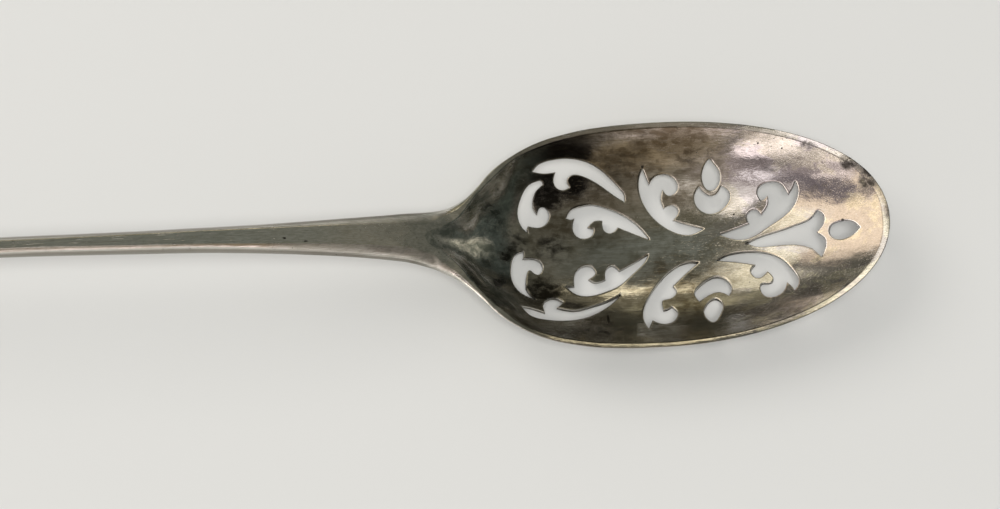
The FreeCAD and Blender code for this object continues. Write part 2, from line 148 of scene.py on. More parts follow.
def spline(points: list, closed: bool, spacing: float) -> list:
    """Evenly spaced points on a smooth line through the given ones.

    Args:
        points: corners of the line, (x, y) in millimetres.
        closed: whether it runs back to its first point without a corner.
        spacing: the wanted distance between the new points.

    Returns:
        The points from the first on, without the last one.
    """
    given = np.array(points, float)
    if closed:
        given = np.vstack([given[-3:], given, given[:4]])
    gaps = np.sqrt(np.linalg.norm(np.diff(given, axis=0), axis=1))
    marks = np.concatenate([[0], np.cumsum(gaps)])
    count = len(given)
    system = np.zeros((count, count))
    wanted = np.zeros((count, 2))
    system[0, 0] = system[-1, -1] = 1.0
    steps = np.diff(marks)
    for i in range(1, count - 1):
        system[i, i - 1] = steps[i - 1]
        system[i, i] = 2 * (steps[i - 1] + steps[i])
        system[i, i + 1] = steps[i]
        wanted[i] = 6 * ((given[i + 1] - given[i]) / steps[i]
                         - (given[i] - given[i - 1]) / steps[i - 1])
    bends = np.linalg.solve(system, wanted)
    first, last = (3, count - 4) if closed else (0, count - 1)
    fine = []
    for i in range(first, last):
        for b in np.linspace(0, 1, SPLINE_STEPS, endpoint=False):
            a, h = 1 - b, steps[i]
            fine.append(a * given[i] + b * given[i + 1]
                        + ((a ** 3 - a) * bends[i] + (b ** 3 - b) * bends[i + 1]) * h * h / 6)
    fine = np.array(fine + [given[last]])
    reach = np.concatenate([[0], np.cumsum(np.linalg.norm(np.diff(fine, axis=0), axis=1))])
    pieces = max(2, round(reach[-1] / spacing))
    spots = np.linspace(0, reach[-1], pieces + 1)[:-1]
    return [tuple(float(np.interp(s, reach, fine[:, k])) for k in (0, 1)) for s in spots]


def fade(x: float, start: float, end: float) -> float:
    """Straight step from 0 at start to 1 at end."""
    return min(max((x - start) / (end - start), 0.0), 1.0)


def scaled(size: float, *pairs: tuple, plus: float = 0.0) -> list:
    """(place, share) pairs as (place, value), the value being a share of size and more."""
    return [(place, size * share + plus) for place, share in pairs]


def last_true(test: Callable, high: float, rounds: int) -> float:
    """Largest value between 0 and high that passes a test, found by halving."""
    low = 0.0
    for _ in range(rounds):
        mid = (low + high) / 2
        low, high = (mid, high) if test(mid) else (low, mid)
    return low


def distances(line: np.ndarray, x: float, y: float) -> np.ndarray:
    """Distances of the points of a line from one place."""
    return np.hypot(line[:, 0] - x, line[:, 1] - y)


def beside(line: np.ndarray, away: float) -> list:
    """A row of points beside a closed line, outwards if it runs against the clock."""
    turned = np.roll(line, -1, axis=0) - np.roll(line, 1, axis=0)
    turned /= np.maximum(np.hypot(turned[:, 0], turned[:, 1]), TINY)[:, None]
    return np.column_stack([line[:, 0] + turned[:, 1] * away,
                            line[:, 1] - turned[:, 0] * away]).tolist()


def within(spots: np.ndarray, ring: np.ndarray) -> np.ndarray:
    """Which of the spots lie inside a closed ring of points."""
    inside = np.zeros(len(spots), bool)
    x, y = spots[:, 0], spots[:, 1]
    for (x1, y1), (x2, y2) in zip(ring, np.roll(ring, -1, axis=0)):
        if y1 != y2:
            inside ^= ((y1 > y) != (y2 > y)) & (x < (x2 - x1) * (y - y1) / (y2 - y1) + x1)
    return inside


def triangulate(plan: list, loops: list, border: int = 0) -> tuple:
    """Triangles that fill one loop of points and leave the other loops open.

    Args:
        plan: the places of all the points.
        loops: the numbers of the points round each loop.
        border: which of the loops goes round the others.

    Returns:
        The points as they ended up, the numbers in the plan that each came from, and the
        triangles.
    """
    ties = [(a, b) for loop in loops for a, b in zip(loop, loop[1:] + loop[:1])]
    found = delaunay_2d_cdt([Vector(p) for p in plan], ties, [], 0, 1e-7, True)
    flat, triangles, origins = found[0], found[2], found[3]
    where = {k: tuple(p) for p, origin in zip(flat, origins) for k in origin}
    middles = np.array([[(flat[a].x + flat[b].x + flat[c].x) / 3,
                         (flat[a].y + flat[b].y + flat[c].y) / 3] for a, b, c in triangles])
    keep = np.ones(len(triangles), bool)
    for i, loop in enumerate(loops):
        held = within(middles, np.array([where[k] for k in loop]))
        keep &= held if i == border else ~held
    return flat, origins, [t for t, kept in zip(triangles, keep) if kept]


@dataclass
class SpoonForm:
    """Sizes of the spoon in millimetres and the smooth lines that they give."""

    total_length: float = 139.98
    bowl_front: float = 18.6
    hollow_back: float = 18.8
    bowl_width: float = 18.74
    hollow_depth: float = 4.6
    wall: float = 0.6
    rim_land: float = 0.32
    edge_round: float = 0.05
    tip_rise: float = 1.6
    neck_width: float = 3.9
    neck_thickness: float = 2.3
    stem_width: float = 1.64
    stem_thickness: float = 1.9
    stem_flat: float = 0.6
    arch_height: float = 10.45
    stem_set: float = 1.7
    spear_width: float = 3.4
    spear_thickness: float = 1.1
    point_size: float = 0.3
    roundness: float = 2.4
    fullness: float = 2.1
    hand_work: float = 0.012
    rim_slope: float = 0.13
    front_hold: float = 0.94
    back_hold: float = 0.97
    lines: dict = field(default_factory=dict)

    def __post_init__(self) -> None:
        """Sets out every line of the spoon from the sizes."""
        self.half = self.bowl_width / 2
        self.rim_height = self.hollow_depth + self.wall
        self.stem_length = self.total_length - self.bowl_front - self.hollow_back
        self.middle_shift = self.total_length / 2 - self.bowl_front
        half, arch, rim, flat = self.half, self.arch_height, self.rim_height, self.stem_flat
        neck, rod, spear, point = (
            self.neck_width, self.stem_width, self.spear_width, self.point_size)
        neck_deep, rod_deep, spear_deep = (
            self.neck_thickness, self.stem_thickness, self.spear_thickness)
        self.lines = {
            "half_width": self.line(
                [(1.0, point / 2),
                 *scaled(spear, (0.97, 0.27), (0.93, 0.45), (0.9, 0.5), (0.885, 0.46)),
                 *scaled(rod, (0.872, 0.47), (0.6, 0.48), (0.325, 0.5), (0.2, 0.585), (0.135, 0.7)),
                 (0.082, rod * 0.37 + neck * 0.21), (0.02, neck / 2)],
                [(0.98, neck * 0.6),
                 *scaled(half, *zip(HEEL_SHARES, (0.272, 0.304, 0.353, 0.417, 0.501, 0.591, 0.668)),
                         *BOWL_WIDTHS)]),
            "half_flat": self.line(
                [(1.0, point * 0.1), (0.9, spear * 0.06),
                 *scaled(flat, (0.872, 0.4), (0.325, 0.5), (0.2, 0.8)),
                 (0.082, flat * 0.45 + neck * 0.12), (0.02, neck * 0.25)],
                [(0.98, neck * 0.32),
                 *scaled(half, *zip(HEEL_SHARES, (0.19, 0.237, 0.295, 0.38, 0.476, 0.572, 0.655))),
                 *scaled(half, BOWL_WIDTHS[0], plus=-self.edge_round)]),
            "half_hollow": self.line(
                [],
                [*scaled(half, (1.0, 0.02), (0.984, 0.055),
                         *zip(HEEL_SHARES, (0.098, 0.155, 0.23, 0.333, 0.447, 0.53, 0.606))),
                 *scaled(half, *BOWL_WIDTHS, plus=-self.rim_land)]),
            "top": self.line(
                [(1.0, point), (0.96, spear_deep * 0.9 + arch * 0.02),
                 (0.9, spear_deep + arch * 0.08),
                 *scaled(arch, (0.83, 0.33), (0.72, 0.6), (0.53, 0.89), (0.33, 1.0), (0.2, 0.985)),
                 *scaled(arch - rim, (0.082, 0.74), (0.02, 0.47), plus=rim)],
                scaled(arch - rim, (1.0, 0.34), (0.88, 0.165), (0.77, 0.065), (0.6, 0.01),
                       (0.3, 0.0), (0.0, 0.0), plus=rim),
                scaled(self.tip_rise, (0.27, 0.1), (0.54, 0.36), (0.8, 0.71), (1.0, 1.0),
                       (1.2, 1.3), plus=rim)),
            "thickness": self.line(
                [(1.0, point), *scaled(spear_deep, (0.96, 0.8), (0.9, 1.0)),
                 *scaled(rod_deep, (0.872, 0.68), (0.6, 0.85), (0.325, 1.0)),
                 *scaled(neck_deep, (0.082, 0.93), (0.02, 1.0))],
                [(0.941, neck_deep * 1.02), (0.856, neck_deep * 0.5 + rim * 0.26),
                 *scaled(rim, (0.771, 0.56), (0.686, 0.69), (0.598, 0.795), (0.425, 0.93),
                         (0.255, 0.985), (0.0, 1.0))]),
            "depth": self.line(
                [],
                scaled(self.hollow_depth, (1.2, -0.36), (1.0, 0.0), (0.941, 0.1), (0.899, 0.18),
                       (0.856, 0.27), (0.771, 0.46), (0.686, 0.63), (0.598, 0.76),
                       (0.425, 0.92), (0.255, 0.985), (0.0, 1.0))),
            "side_drop": self.line(
                [(1.0, point * 0.5), (0.9, spear_deep * 0.5),
                 *scaled(rod_deep, (0.872, 0.42), (0.325, 0.54)), (0.02, neck_deep * 0.5)],
                [*scaled(neck_deep, (0.941, 0.37), (0.856, 0.2), (0.771, 0.1)),
                 (0.686, self.edge_round * 1.6)]),
            "sideways": self.line(
                scaled(self.stem_set, (1.0, 1.0), (0.33, 0.56), (0.2, 0.41), (0.082, 0.35),
                       (0.02, 0.34)),
                scaled(self.stem_set, (0.984, 0.22), (0.899, 0.1), (0.8, 0.0), (0.0, 0.0))),
            "bowl_share": self.line([], [(0.97, 0.0), (0.63, 1.0)]),
        }

    def back(self, share: float) -> float:
        """Station behind the widest place, as a share of the way to the hollow's end."""
        return -self.hollow_back * share

    def stem(self, share: float) -> float:
        """Station on the stem, as a share of the way from the hollow's end to the point."""
        return -self.hollow_back - self.stem_length * share

    def line(self, stem: list, back: list, front: list = ()) -> list:
        """One table along the whole spoon.

        Args:
            stem: (share of the stem, value) pairs from the point on.
            back: (share of the hollow's back, value) pairs.
            front: (share of the bowl's front, value) pairs.

        Returns:
            (millimetres, value) pairs in rising order.
        """
        table = [(self.stem(share), value) for share, value in stem]
        table += [(self.back(share), value) for share, value in back]
        table += [(self.bowl_front * share, value) for share, value in front]
        return table

    def outline_share(self, reach: float) -> float:
        """Half width of the front of the bowl as a share of its widest."""
        return (1 - min(reach, 1.0) ** self.fullness) ** (1 / self.fullness)

    def half_width(self, x: float) -> float:
        """Half width of the whole spoon at x."""
        if x <= 0:
            return smooth(self.lines["half_width"], x)
        return self.half * self.outline_share(x / self.bowl_front)

    def half_flat(self, x: float) -> float:
        """Half width of the flat top at x."""
        if x < self.back(RIM_SHARE):
            return smooth(self.lines["half_flat"], x)
        return max(self.half_width(x) - self.edge_round, self.half_width(x) * 0.6)

    def thickness(self, x: float) -> float:
        """Height of the metal from the top line to the back."""
        if x <= 0:
            return smooth(self.lines["thickness"], x)
        edge = 2 * self.edge_round
        return edge + (self.rim_height - edge) * (1 - (x / self.bowl_front) ** self.fullness)

    def top(self, x: float) -> float:
        """Height of the flat top or the rim at x."""
        return smooth(self.lines["top"], x)

    def drop(self, x: float) -> float:
        """Fall from the top to the widest line of the side."""
        return min(smooth(self.lines["side_drop"], x), self.thickness(x) * 0.5)

    def sideways(self, x: float) -> float:
        """How far the section at x stands off the line of the bowl."""
        return smooth(self.lines["sideways"], x)

    def tooling(self, x: float, y: float) -> float:
        """Faint unevenness left by the hammer and the polishing stick."""
        wave = math.sin(0.83 * x + 0.4 * y + 0.6) * math.cos(0.71 * y - 0.23 * x)
        wave += 0.6 * math.sin(1.57 * x - 1.21 * y + 2.1) + 0.4 * math.cos(2.3 * y + 0.9 * x)
        return self.hand_work * wave

    def inside(self, x: float, y: float) -> float:
        """Height of the inner surface of the bowl, running on past the rim."""
        if x > 0:
            reach = x / (self.bowl_front - self.rim_land)
            depth = self.hollow_depth * (1 - reach ** self.fullness)
            held = min(reach, self.front_hold)
            half = (self.half - self.rim_land) * self.outline_share(held)
            steep = self.hollow_depth * (1 - held ** self.fullness) / half ** self.roundness
        else:
            depth = smooth(self.lines["depth"], x)
            held = max(x, self.back(self.back_hold))
            steep = smooth(self.lines["depth"], held)
            steep /= smooth(self.lines["half_hollow"], held) ** self.roundness
        off = abs(y - self.sideways(x))
        over = steep * off ** self.roundness - depth
        if over > 0:
            over = over / (1 + over / self.wall)
        return self.top(x) + over

    def rim_fall(self, x: float) -> float:
        """How far the worn rim slopes down to the hollow, from nothing at the heel."""
        return self.rim_slope * fade(x, *RIM_SLOPES)

    def hollow_edge(self, x: float) -> float:
        """Half width of the hollow where its surface meets the rim."""
        side, top = self.sideways(x), self.top(x) - self.rim_fall(x)
        return last_true(lambda half: self.inside(x, side + half) < top, self.half, 40)

    def below(self, x: float, across: float) -> float:
        """Height of the back at x, at a share of the half width from its middle line."""
        share = smooth(self.lines["bowl_share"], x)
        across = min(abs(across), 1.0)
        rod = math.sqrt(1 - across * across)
        dish = 1 - across ** self.roundness
        drop = self.drop(x)
        deep = self.thickness(x) - drop
        return self.top(x) - drop - deep * (rod + share * (dish - rod))

    def outside(self, x: float, y: float) -> float:
        """Height of the back of the bowl."""
        return self.below(x, (y - self.sideways(x)) / max(self.half_width(x), 1e-6))

    def place(self, x: float, y: float, z: float) -> tuple:
        """A point of the drawing in the frame's metres."""
        return ((x + self.middle_shift) * MM, y * MM, z * MM)


@dataclass
class Piercing:
    """One sawn opening: runs of points, each a smooth line from a sharp corner to the next."""

    name: str
    runs: list

    def outline(self, spacing: float) -> list:
        """Evenly spaced points round the opening, against the clock, in millimetres."""
        found = []
        if len(self.runs) == 1:
            found = spline(self.runs[0], True, spacing)
        else:
            for run, after in zip(self.runs, self.runs[1:] + self.runs[:1]):
                found += spline(run + [after[0]], False, spacing)
        turning = sum(a[0] * b[1] - b[0] * a[1] for a, b in zip(found, found[1:] + found[:1]))
        return found if turning > 0 else found[::-1]


PATTERN = [
    Piercing("upper_scroll", [
        [(-9.8, 6.2), (-9.4, 6.6), (-8.7, 6.9), (-7.4, 7.1), (-5.9, 7.0), (-4.4, 6.4),
         (-3.1, 5.3), (-2.3, 4.3)],
        [(-2.3, 3.8), (-3.2, 4.4), (-4.3, 5.2), (-5.4, 5.8), (-6.5, 6.0), (-7.0, 5.6)],
        [(-6.8, 5.1), (-7.4, 4.9), (-7.9, 5.1), (-8.1, 5.6)],
        [(-7.9, 6.2), (-8.9, 6.1)]]),
    Piercing("upper_comma", [
        [(-9.2, 5.6), (-10.2, 5.2), (-10.9, 4.2), (-11.2, 3.0), (-10.9, 2.0)],
        [(-10.4, 1.5), (-10.5, 1.8)],
        [(-10.4, 2.1), (-9.5, 2.0), (-8.8, 2.4), (-8.6, 3.1), (-9.0, 3.6), (-9.4, 3.5)],
        [(-9.6, 3.0), (-9.9, 3.5), (-9.9, 4.1), (-9.6, 4.8)],
        [(-9.0, 5.3), (-9.05, 5.5)]]),
    Piercing("upper_inner_scroll", [
        [(-7.2, 2.7), (-6.8, 3.3), (-6.0, 3.6), (-5.0, 3.7), (-3.9, 3.4), (-2.6, 2.8),
         (-1.3, 1.8)],
        [(-0.4, 0.6), (-1.5, 1.1)],
        [(-3.0, 1.8), (-3.4, 1.4), (-3.9, 1.4), (-4.2, 1.8)],
        [(-4.2, 2.4), (-4.9, 2.4)],
        [(-5.5, 1.9), (-5.2, 1.8)],
        [(-5.0, 1.8), (-5.1, 1.3), (-5.8, 1.0), (-6.5, 1.3), (-6.7, 2.0)],
        [(-6.5, 2.7), (-6.8, 2.6)]]),
    Piercing("lower_comma", [
        [(-10.9, 0.0), (-11.6, -0.3), (-12.0, -1.3), (-12.0, -2.5), (-11.4, -3.6)],
        [(-10.1, -4.3), (-10.6, -3.8)],
        [(-10.9, -3.2), (-10.8, -2.1), (-10.5, -1.6), (-9.9, -2.0), (-9.4, -1.4), (-9.8, -0.7)],
        [(-11.0, -0.6), (-10.9, -0.3)]]),
    Piercing("lower_inner_scroll", [
        [(-0.6, -0.6), (-1.0, -1.3), (-2.1, -2.3), (-3.2, -3.2), (-4.4, -3.7), (-5.7, -4.0),
         (-6.8, -3.8)],
        [(-7.6, -3.1), (-7.2, -3.1)],
        [(-6.9, -3.1), (-6.8, -2.1), (-6.2, -1.4), (-5.4, -1.4), (-5.1, -2.0)],
        [(-5.7, -2.5), (-5.2, -2.8)],
        [(-4.3, -2.6), (-4.2, -1.8), (-3.7, -1.4)],
        [(-3.1, -1.9), (-1.9, -1.3)]]),
    Piercing("lower_scroll", [
        [(-11.4, -4.9), (-10.7, -5.8), (-9.4, -6.2), (-8.0, -6.3), (-6.4, -6.1), (-4.8, -5.4),
         (-3.7, -4.6)],
        [(-3.1, -4.0), (-4.4, -4.6), (-5.7, -5.0), (-7.1, -5.3)],
        [(-8.5, -5.0), (-8.2, -4.8)],
        [(-7.9, -4.5), (-8.7, -4.1), (-9.4, -4.4), (-9.6, -4.9)],
        [(-9.5, -5.5), (-10.5, -5.1)]]),
    Piercing("upper_left_leaf", [
        [(-0.7, 6.2), (-1.0, 5.5), (-1.0, 4.4), (-0.6, 3.3), (0.2, 2.2), (1.5, 1.2), (2.9, 0.8)],
        [(4.1, 1.2), (2.9, 1.6)],
        [(1.6, 2.1), (2.1, 2.8), (1.7, 3.3)],
        [(0.9, 3.1), (0.7, 3.9)],
        [(0.9, 4.6), (1.4, 4.1), (2.1, 4.5), (1.9, 5.3), (1.0, 5.7), (0.2, 5.5)],
        [(-0.2, 5.0), (-0.5, 5.7)]]),
    Piercing("upper_bud", [
        [(4.8, 6.5), (5.1, 6.2), (5.5, 5.7), (5.6, 4.9), (5.2, 4.3), (4.6, 4.3), (4.2, 5.0),
         (4.3, 5.9)]]),
    Piercing("upper_crescent", [
        [(3.9, 4.6), (4.3, 4.1), (4.9, 3.8), (5.4, 4.0)],
        [(5.7, 4.5), (6.3, 4.0), (6.3, 3.3), (5.6, 2.6), (4.6, 2.4), (3.7, 3.0), (3.5, 3.9)]]),
    Piercing("upper_right_leaf", [
        [(5.3, 0.6), (6.4, 0.1), (7.7, 0.0), (9.2, 0.7), (10.5, 1.4), (11.4, 2.2), (11.8, 3.3)],
        [(11.6, 4.1), (11.4, 3.6)],
        [(11.0, 3.1), (10.5, 4.0), (9.8, 4.3), (9.0, 4.2), (8.6, 3.7), (8.9, 3.0)],
        [(9.4, 3.3), (9.4, 2.6)],
        [(8.8, 1.8), (8.3, 2.3), (7.7, 2.0)],
        [(7.8, 1.2), (6.6, 0.9)]]),
    Piercing("lower_left_leaf", [
        [(3.5, -1.6), (2.6, -1.5), (1.3, -2.0), (0.0, -3.2), (-1.1, -4.8), (-1.5, -6.3)],
        [(-1.2, -7.4), (-1.0, -7.0)],
        [(-0.8, -6.6), (0.0, -7.0), (0.9, -6.8), (1.3, -6.0)],
        [(0.9, -5.4), (0.6, -5.6)],
        [(0.2, -5.7), (0.2, -4.8), (0.9, -4.6), (1.4, -4.1)],
        [(1.2, -3.5), (2.2, -2.6)]]),
    Piercing("lower_crescent", [
        [(3.2, -5.1), (2.9, -4.3), (3.6, -3.5), (4.7, -3.0), (5.6, -3.4), (5.9, -4.2)],
        [(5.6, -4.8), (4.9, -4.4), (4.0, -4.6)]]),
    Piercing("lower_bud", [
        [(4.1, -5.1), (4.6, -5.0), (5.0, -5.6), (4.7, -6.5), (4.1, -7.2), (3.6, -6.8),
         (3.5, -5.9)]]),
    Piercing("lower_right_leaf", [
        [(4.9, -1.6), (5.8, -1.2), (7.3, -1.1), (8.9, -1.4), (10.1, -2.1), (10.8, -3.1),
         (11.2, -4.3)],
        [(10.8, -5.0), (10.6, -4.6)],
        [(10.3, -4.2), (9.9, -5.0), (9.0, -5.4), (8.3, -5.0), (8.3, -4.1), (9.0, -4.1),
         (9.3, -3.7)],
        [(8.9, -3.0), (8.1, -3.5), (7.6, -2.9)],
        [(8.0, -2.3), (6.5, -1.9)]]),
    Piercing("trumpet", [
        [(7.5, -0.4), (8.6, 0.0), (10.2, 0.3), (11.6, 0.6), (12.6, 0.9)],
        [(13.2, 1.5), (13.6, 1.1), (13.6, 0.4)],
        [(13.0, -0.3), (13.6, -1.0), (13.5, -1.8)],
        [(13.2, -2.4), (12.9, -2.0)],
        [(12.6, -1.6), (11.5, -1.1), (9.7, -0.9), (8.3, -0.8)]]),
    Piercing("end_oval", [
        [(14.0, -0.4), (14.2, 0.1), (15.0, 0.3), (15.8, 0.1)],
        [(16.3, -0.5), (15.7, -1.0), (14.7, -1.2), (14.1, -0.8)]]),
]


class Weld:
    """Points and faces of one closed mesh; points that fall together become one."""

    def __init__(self) -> None:
        self.points: list = []
        self.wear: list = []
        self.cut: list = []
        self.faces: list = []
        self.known: dict = {}

    def point(self, p: tuple, wear: float = 0.0, cut: float = 0.0) -> int:
        """Adds a point or finds the one already there.

        Args:
            p: place in millimetres.
            wear: how much handling has polished it, 0 to 1.
            cut: 1 on a sawn wall (old polish and painted shade), less in the painted shade line at
                the rim.

        Returns:
            The point's number.
        """
        key = (round(p[0], 4), round(p[1], 4), round(p[2], 4))
        if key not in self.known:
            self.known[key] = len(self.points)
            self.points.append(p)
            self.wear.append(wear)
            self.cut.append(cut)
        return self.known[key]

    def face(self, corners: list) -> None:
        """Adds a face, leaving out corners that have fallen together."""
        kept = [c for i, c in enumerate(corners) if c != corners[i - 1]]
        if len(set(kept)) >= 3:
            self.faces.append(kept)

    def tidy(self) -> None:
        """Drops the points that no face uses."""
        used = sorted({corner for face in self.faces for corner in face})
        renamed = {old: new for new, old in enumerate(used)}
        self.points, self.wear, self.cut = (
            [values[k] for k in used] for values in (self.points, self.wear, self.cut))
        self.faces = [[renamed[k] for k in face] for face in self.faces]

    def strip(self, first: list, second: list) -> None:
        """Faces between two lines of the same number of points."""
        for a, b, c, d in zip(first, first[1:], second[1:], second):
            self.face([a, b, c, d])


def flank(t: float) -> tuple:
    """Rounded side between the flat top and the widest line, as shares out and down."""
    a, b, c = 3 * t * (1 - t) ** 2, 3 * t * t * (1 - t), t ** 3
    return (0.45 * a + 0.9 * b + c, 0.2 * a + 0.5 * b + c)


@dataclass
class Bowl:
    """The thin pierced sheet of the bowl: inside, back, sawn walls and rim."""

    form: SpoonForm
    pattern: list
    fineness: float = 0.3
    outline_step: float = 0.11
    rim_crown: float = 0.006
    # Strength of the painted shade line along the inside of the rim, towards the tip.
    rim_shade: float = 0.6
    saw_lean: float = 0.45
    saw_reach: float = 3.0
    inside_round: float = 0.11
    back_round: float = 0.07
    heel_soft: float = 0.22
    seam_share: float = 0.72
    land_share: float = 0.008

    def __post_init__(self) -> None:
        """Sets where the bowl meets the stem at the back and on the flat top."""
        self.seam = self.form.back(self.seam_share)
        self.land_start = self.form.stem(self.land_share)

    @staticmethod
    def front_stations(reach: float) -> list:
        """Places from the widest line to reach, closer together towards it."""
        return [reach * math.sin(t) for t in np.linspace(0, math.pi / 2, FRONT_STEPS)[1:]]

    def rim_stations(self) -> list:
        """Places along the bowl for its outline, from the seam with the neck to the tip."""
        front = self.front_stations(self.form.bowl_front)
        return [*np.linspace(self.seam, 0.0, SIDE_STEPS), *front]

    def neck_stations(self) -> list:
        """Places along the neck where the flat top becomes the rim."""
        return list(np.linspace(self.land_start, self.seam, NECK_STEPS))

    def saw_direction(self, outline: list) -> Vector:
        """Direction the saw was held in, nearly upright but leaning with the metal."""
        x, y = (sum(p[k] for p in outline) / len(outline) for k in (0, 1))
        step, inside = self.form.wall, self.form.inside
        along = Vector((2 * step, 0, inside(x + step, y) - inside(x - step, y)))
        across = Vector((0, 2 * step, inside(x, y + step) - inside(x, y - step)))
        return (along.cross(across).normalized() * self.saw_lean + Vector((0, 0, 1))).normalized()

    def behind(self, p: tuple, saw: Vector) -> tuple:
        """Where the saw blade that touches a place inside comes out at the back."""
        start = Vector((*p, self.form.inside(*p)))

        def in_metal(depth: float) -> bool:
            q = start - saw * depth
            return q.z > self.form.outside(q.x, q.y)

        q = start - saw * last_true(in_metal, self.saw_reach, 30)
        return (q.x, q.y)

    def height(self, side: Side, x: float, y: float) -> float:
        """Height of one face of the sheet, with the marks of the hand that made it."""
        if side is Side.BACK:
            return self.form.outside(x, y)
        level = self.form.inside(x, y)
        deep = max(self.form.top(x) - level, 0.0)
        soft = self.heel_soft * fade(x, *HEEL_SOFTENS)
        if deep > 0 and soft > 0:
            level += soft * deep / (deep + soft)
        return level + min(deep, 1.0) * self.form.tooling(x, y)

    def grid(self, border: np.ndarray, edges: np.ndarray, clear: float) -> list:
        """Even points over the sheet, kept away from its border and its openings.

        Args:
            border: points round the sheet.
            edges: points on the edges of all openings.
            clear: the least distance from those edges.

        Returns:
            The points, (x, y) in millimetres.
        """
        found = []
        low, high = border.min(axis=0), border.max(axis=0)
        step = self.fineness
        for j in range(int((high[1] - low[1]) / (step * GRID_ROW)) + 1):
            y = low[1] + j * step * GRID_ROW
            for i in range(int((high[0] - low[0]) / step) + 1):
                x = low[0] + (i + 0.5 * (j % 2)) * step
                if (distances(border, x, y).min() >= step * 0.45
                        and distances(edges, x, y).min() >= clear):
                    found.append((x, y))
        return found

    @staticmethod
    def rounding(line: np.ndarray, radius: float, edges: np.ndarray, others: np.ndarray) -> list:
        """Rows of points on the rounded edge of an opening.

        Args:
            line: points round the opening.
            radius: size of the rounding.
            edges: points on the edges of all openings.
            others: which of those belong to other openings.

        Returns:
            (x, y, fall from the sheet, wear) of each point.
        """
        found = []
        for away in (radius * share for share in ROUND_ROWS):
            inside = max(radius - away, 0.0)
            fall = radius - math.sqrt(radius * radius - inside * inside)
            wear = max(0.0, 1 - away / (ROUND_ROWS[-1] * radius))
            for x, y in beside(line, away):
                gaps = distances(edges, x, y)
                if gaps.min() > away * 0.93 - TINY and gaps[others].min() > radius * 0.8:
                    found.append((x, y, fall, wear))
        return found

    def sheet(self, weld: Weld, side: Side, rim: list, outlines: list) -> list:
        """One face of the pierced sheet.

        Args:
            weld: the mesh that it goes into.
            side: inside or back.
            rim: points round its edge, against the clock.
            outlines: (x, y) points round each opening on this side.

        Returns:
            For each opening, the numbers of the points on its edge.
        """
        radius = self.inside_round if side is Side.INSIDE else self.back_round
        edges = np.array([p for outline in outlines for p in outline])
        owner = np.concatenate([[i] * len(outline) for i, outline in enumerate(outlines)])
        spots = [(x, y, 0.0, 0.0) for x, y, z in rim]
        loops = [list(range(len(spots)))]
        for outline in outlines:
            loops.append(list(range(len(spots), len(spots) + len(outline))))
            spots += [(x, y, radius, 1.0) for x, y in outline]
        for i, outline in enumerate(outlines):
            spots += self.rounding(np.array(outline), radius, edges, owner != i)
        border = np.array([p[:2] for p in rim])
        flats = self.grid(border, edges, max(radius * 2.3, self.fineness * 0.5))
        for away in INNER_ROWS:
            flats += [(x, y) for x, y in beside(border, -away)
                      if distances(border, x, y).min() > away * 0.9]
        spots += [(x, y, 0.0, 0.0) for x, y in flats]
        plan = [(x - self.swell(x, y), y) for x, y, fall, wear in spots]
        flat, origins, triangles = triangulate(plan, loops)
        numbers = []
        for p, origin in zip(flat, origins):
            x, y, fall, wear = spots[origin[0]] if origin else (p.x, p.y, 0.0, 0.0)
            z = self.height(side, x, y) - side.value * fall
            grime_and_shade = 0.0
            if origin and origin[0] < len(rim):
                z = rim[origin[0]][2]
                # Inside the rim, towards the tip, a painted shade line stands in for the dark that
                # the steep wall there mirrors.
                if side is Side.INSIDE:
                    grime_and_shade = self.rim_shade * fade(x, *RIM_DARKENS)
            numbers.append(weld.point((x, y, z), wear, grime_and_shade))
        for a, b, c in triangles:
            turn = (a, b, c) if side is Side.INSIDE else (a, c, b)
            weld.face([numbers[k] for k in turn])
        fall = side.value * radius
        return [[weld.point((x, y, self.height(side, x, y) - fall), 1.0) for x, y in outline]
                for outline in outlines]

    def swell(self, x: float, y: float) -> float:
        """Keeps the straight row at the seam from lying in one line while it is meshed."""
        return 0.002 * (1 - (y / self.form.half) ** 2) if abs(x - self.seam) < TINY else 0.0

    def walls(self, weld: Weld, tops: list, bottoms: list) -> None:
        """The sawn walls between the rounded edges inside and at the back."""
        for top, bottom in zip(tops, bottoms):
            rows = [top]
            for share, wear in WALL_ROWS:
                row = []
                for a, b in zip(top, bottom):
                    p, q = weld.points[a], weld.points[b]
                    spot = tuple(p[k] + (q[k] - p[k]) * share for k in range(3))
                    row.append(weld.point(spot, wear, 1.0))
                rows.append(row)
            rows.append(bottom)
            for first, second in zip(rows, rows[1:]):
                weld.strip(first + first[:1], second + second[:1])

    @staticmethod
    def rubbing(x: float) -> float:
        """How far hands have polished the edge at x: as the stem at the neck, more at the rim."""
        return STEM_WEAR + 0.5 * fade(x, *HANDS_RUB)

    def hollow_rim(self) -> list:
        """Points round the edge of the hollow, from its pointed end and back to it."""
        form = self.form
        heel = form.back(1.0)
        reach = (1 - form.rim_slope / form.hollow_depth) ** (1 / form.fullness)
        tip = (form.bowl_front - form.rim_land) * reach
        xs = [heel + 0.9 * (i / HEEL_STEPS) ** 2 for i in range(1, HEEL_STEPS + 1)]
        xs += [*np.linspace(heel + 1.0, 0.0, HOLLOW_STEPS), *self.front_stations(tip)[:-1]]
        cuts = [(x, form.sideways(x), form.hollow_edge(x)) for x in xs]
        ring = [(heel, form.sideways(heel)), *((x, side - half) for x, side, half in cuts),
                (tip, 0.0), *((x, side + half) for x, side, half in reversed(cuts))]
        return [(x, y, form.top(x) - form.rim_fall(x)) for x, y in ring]

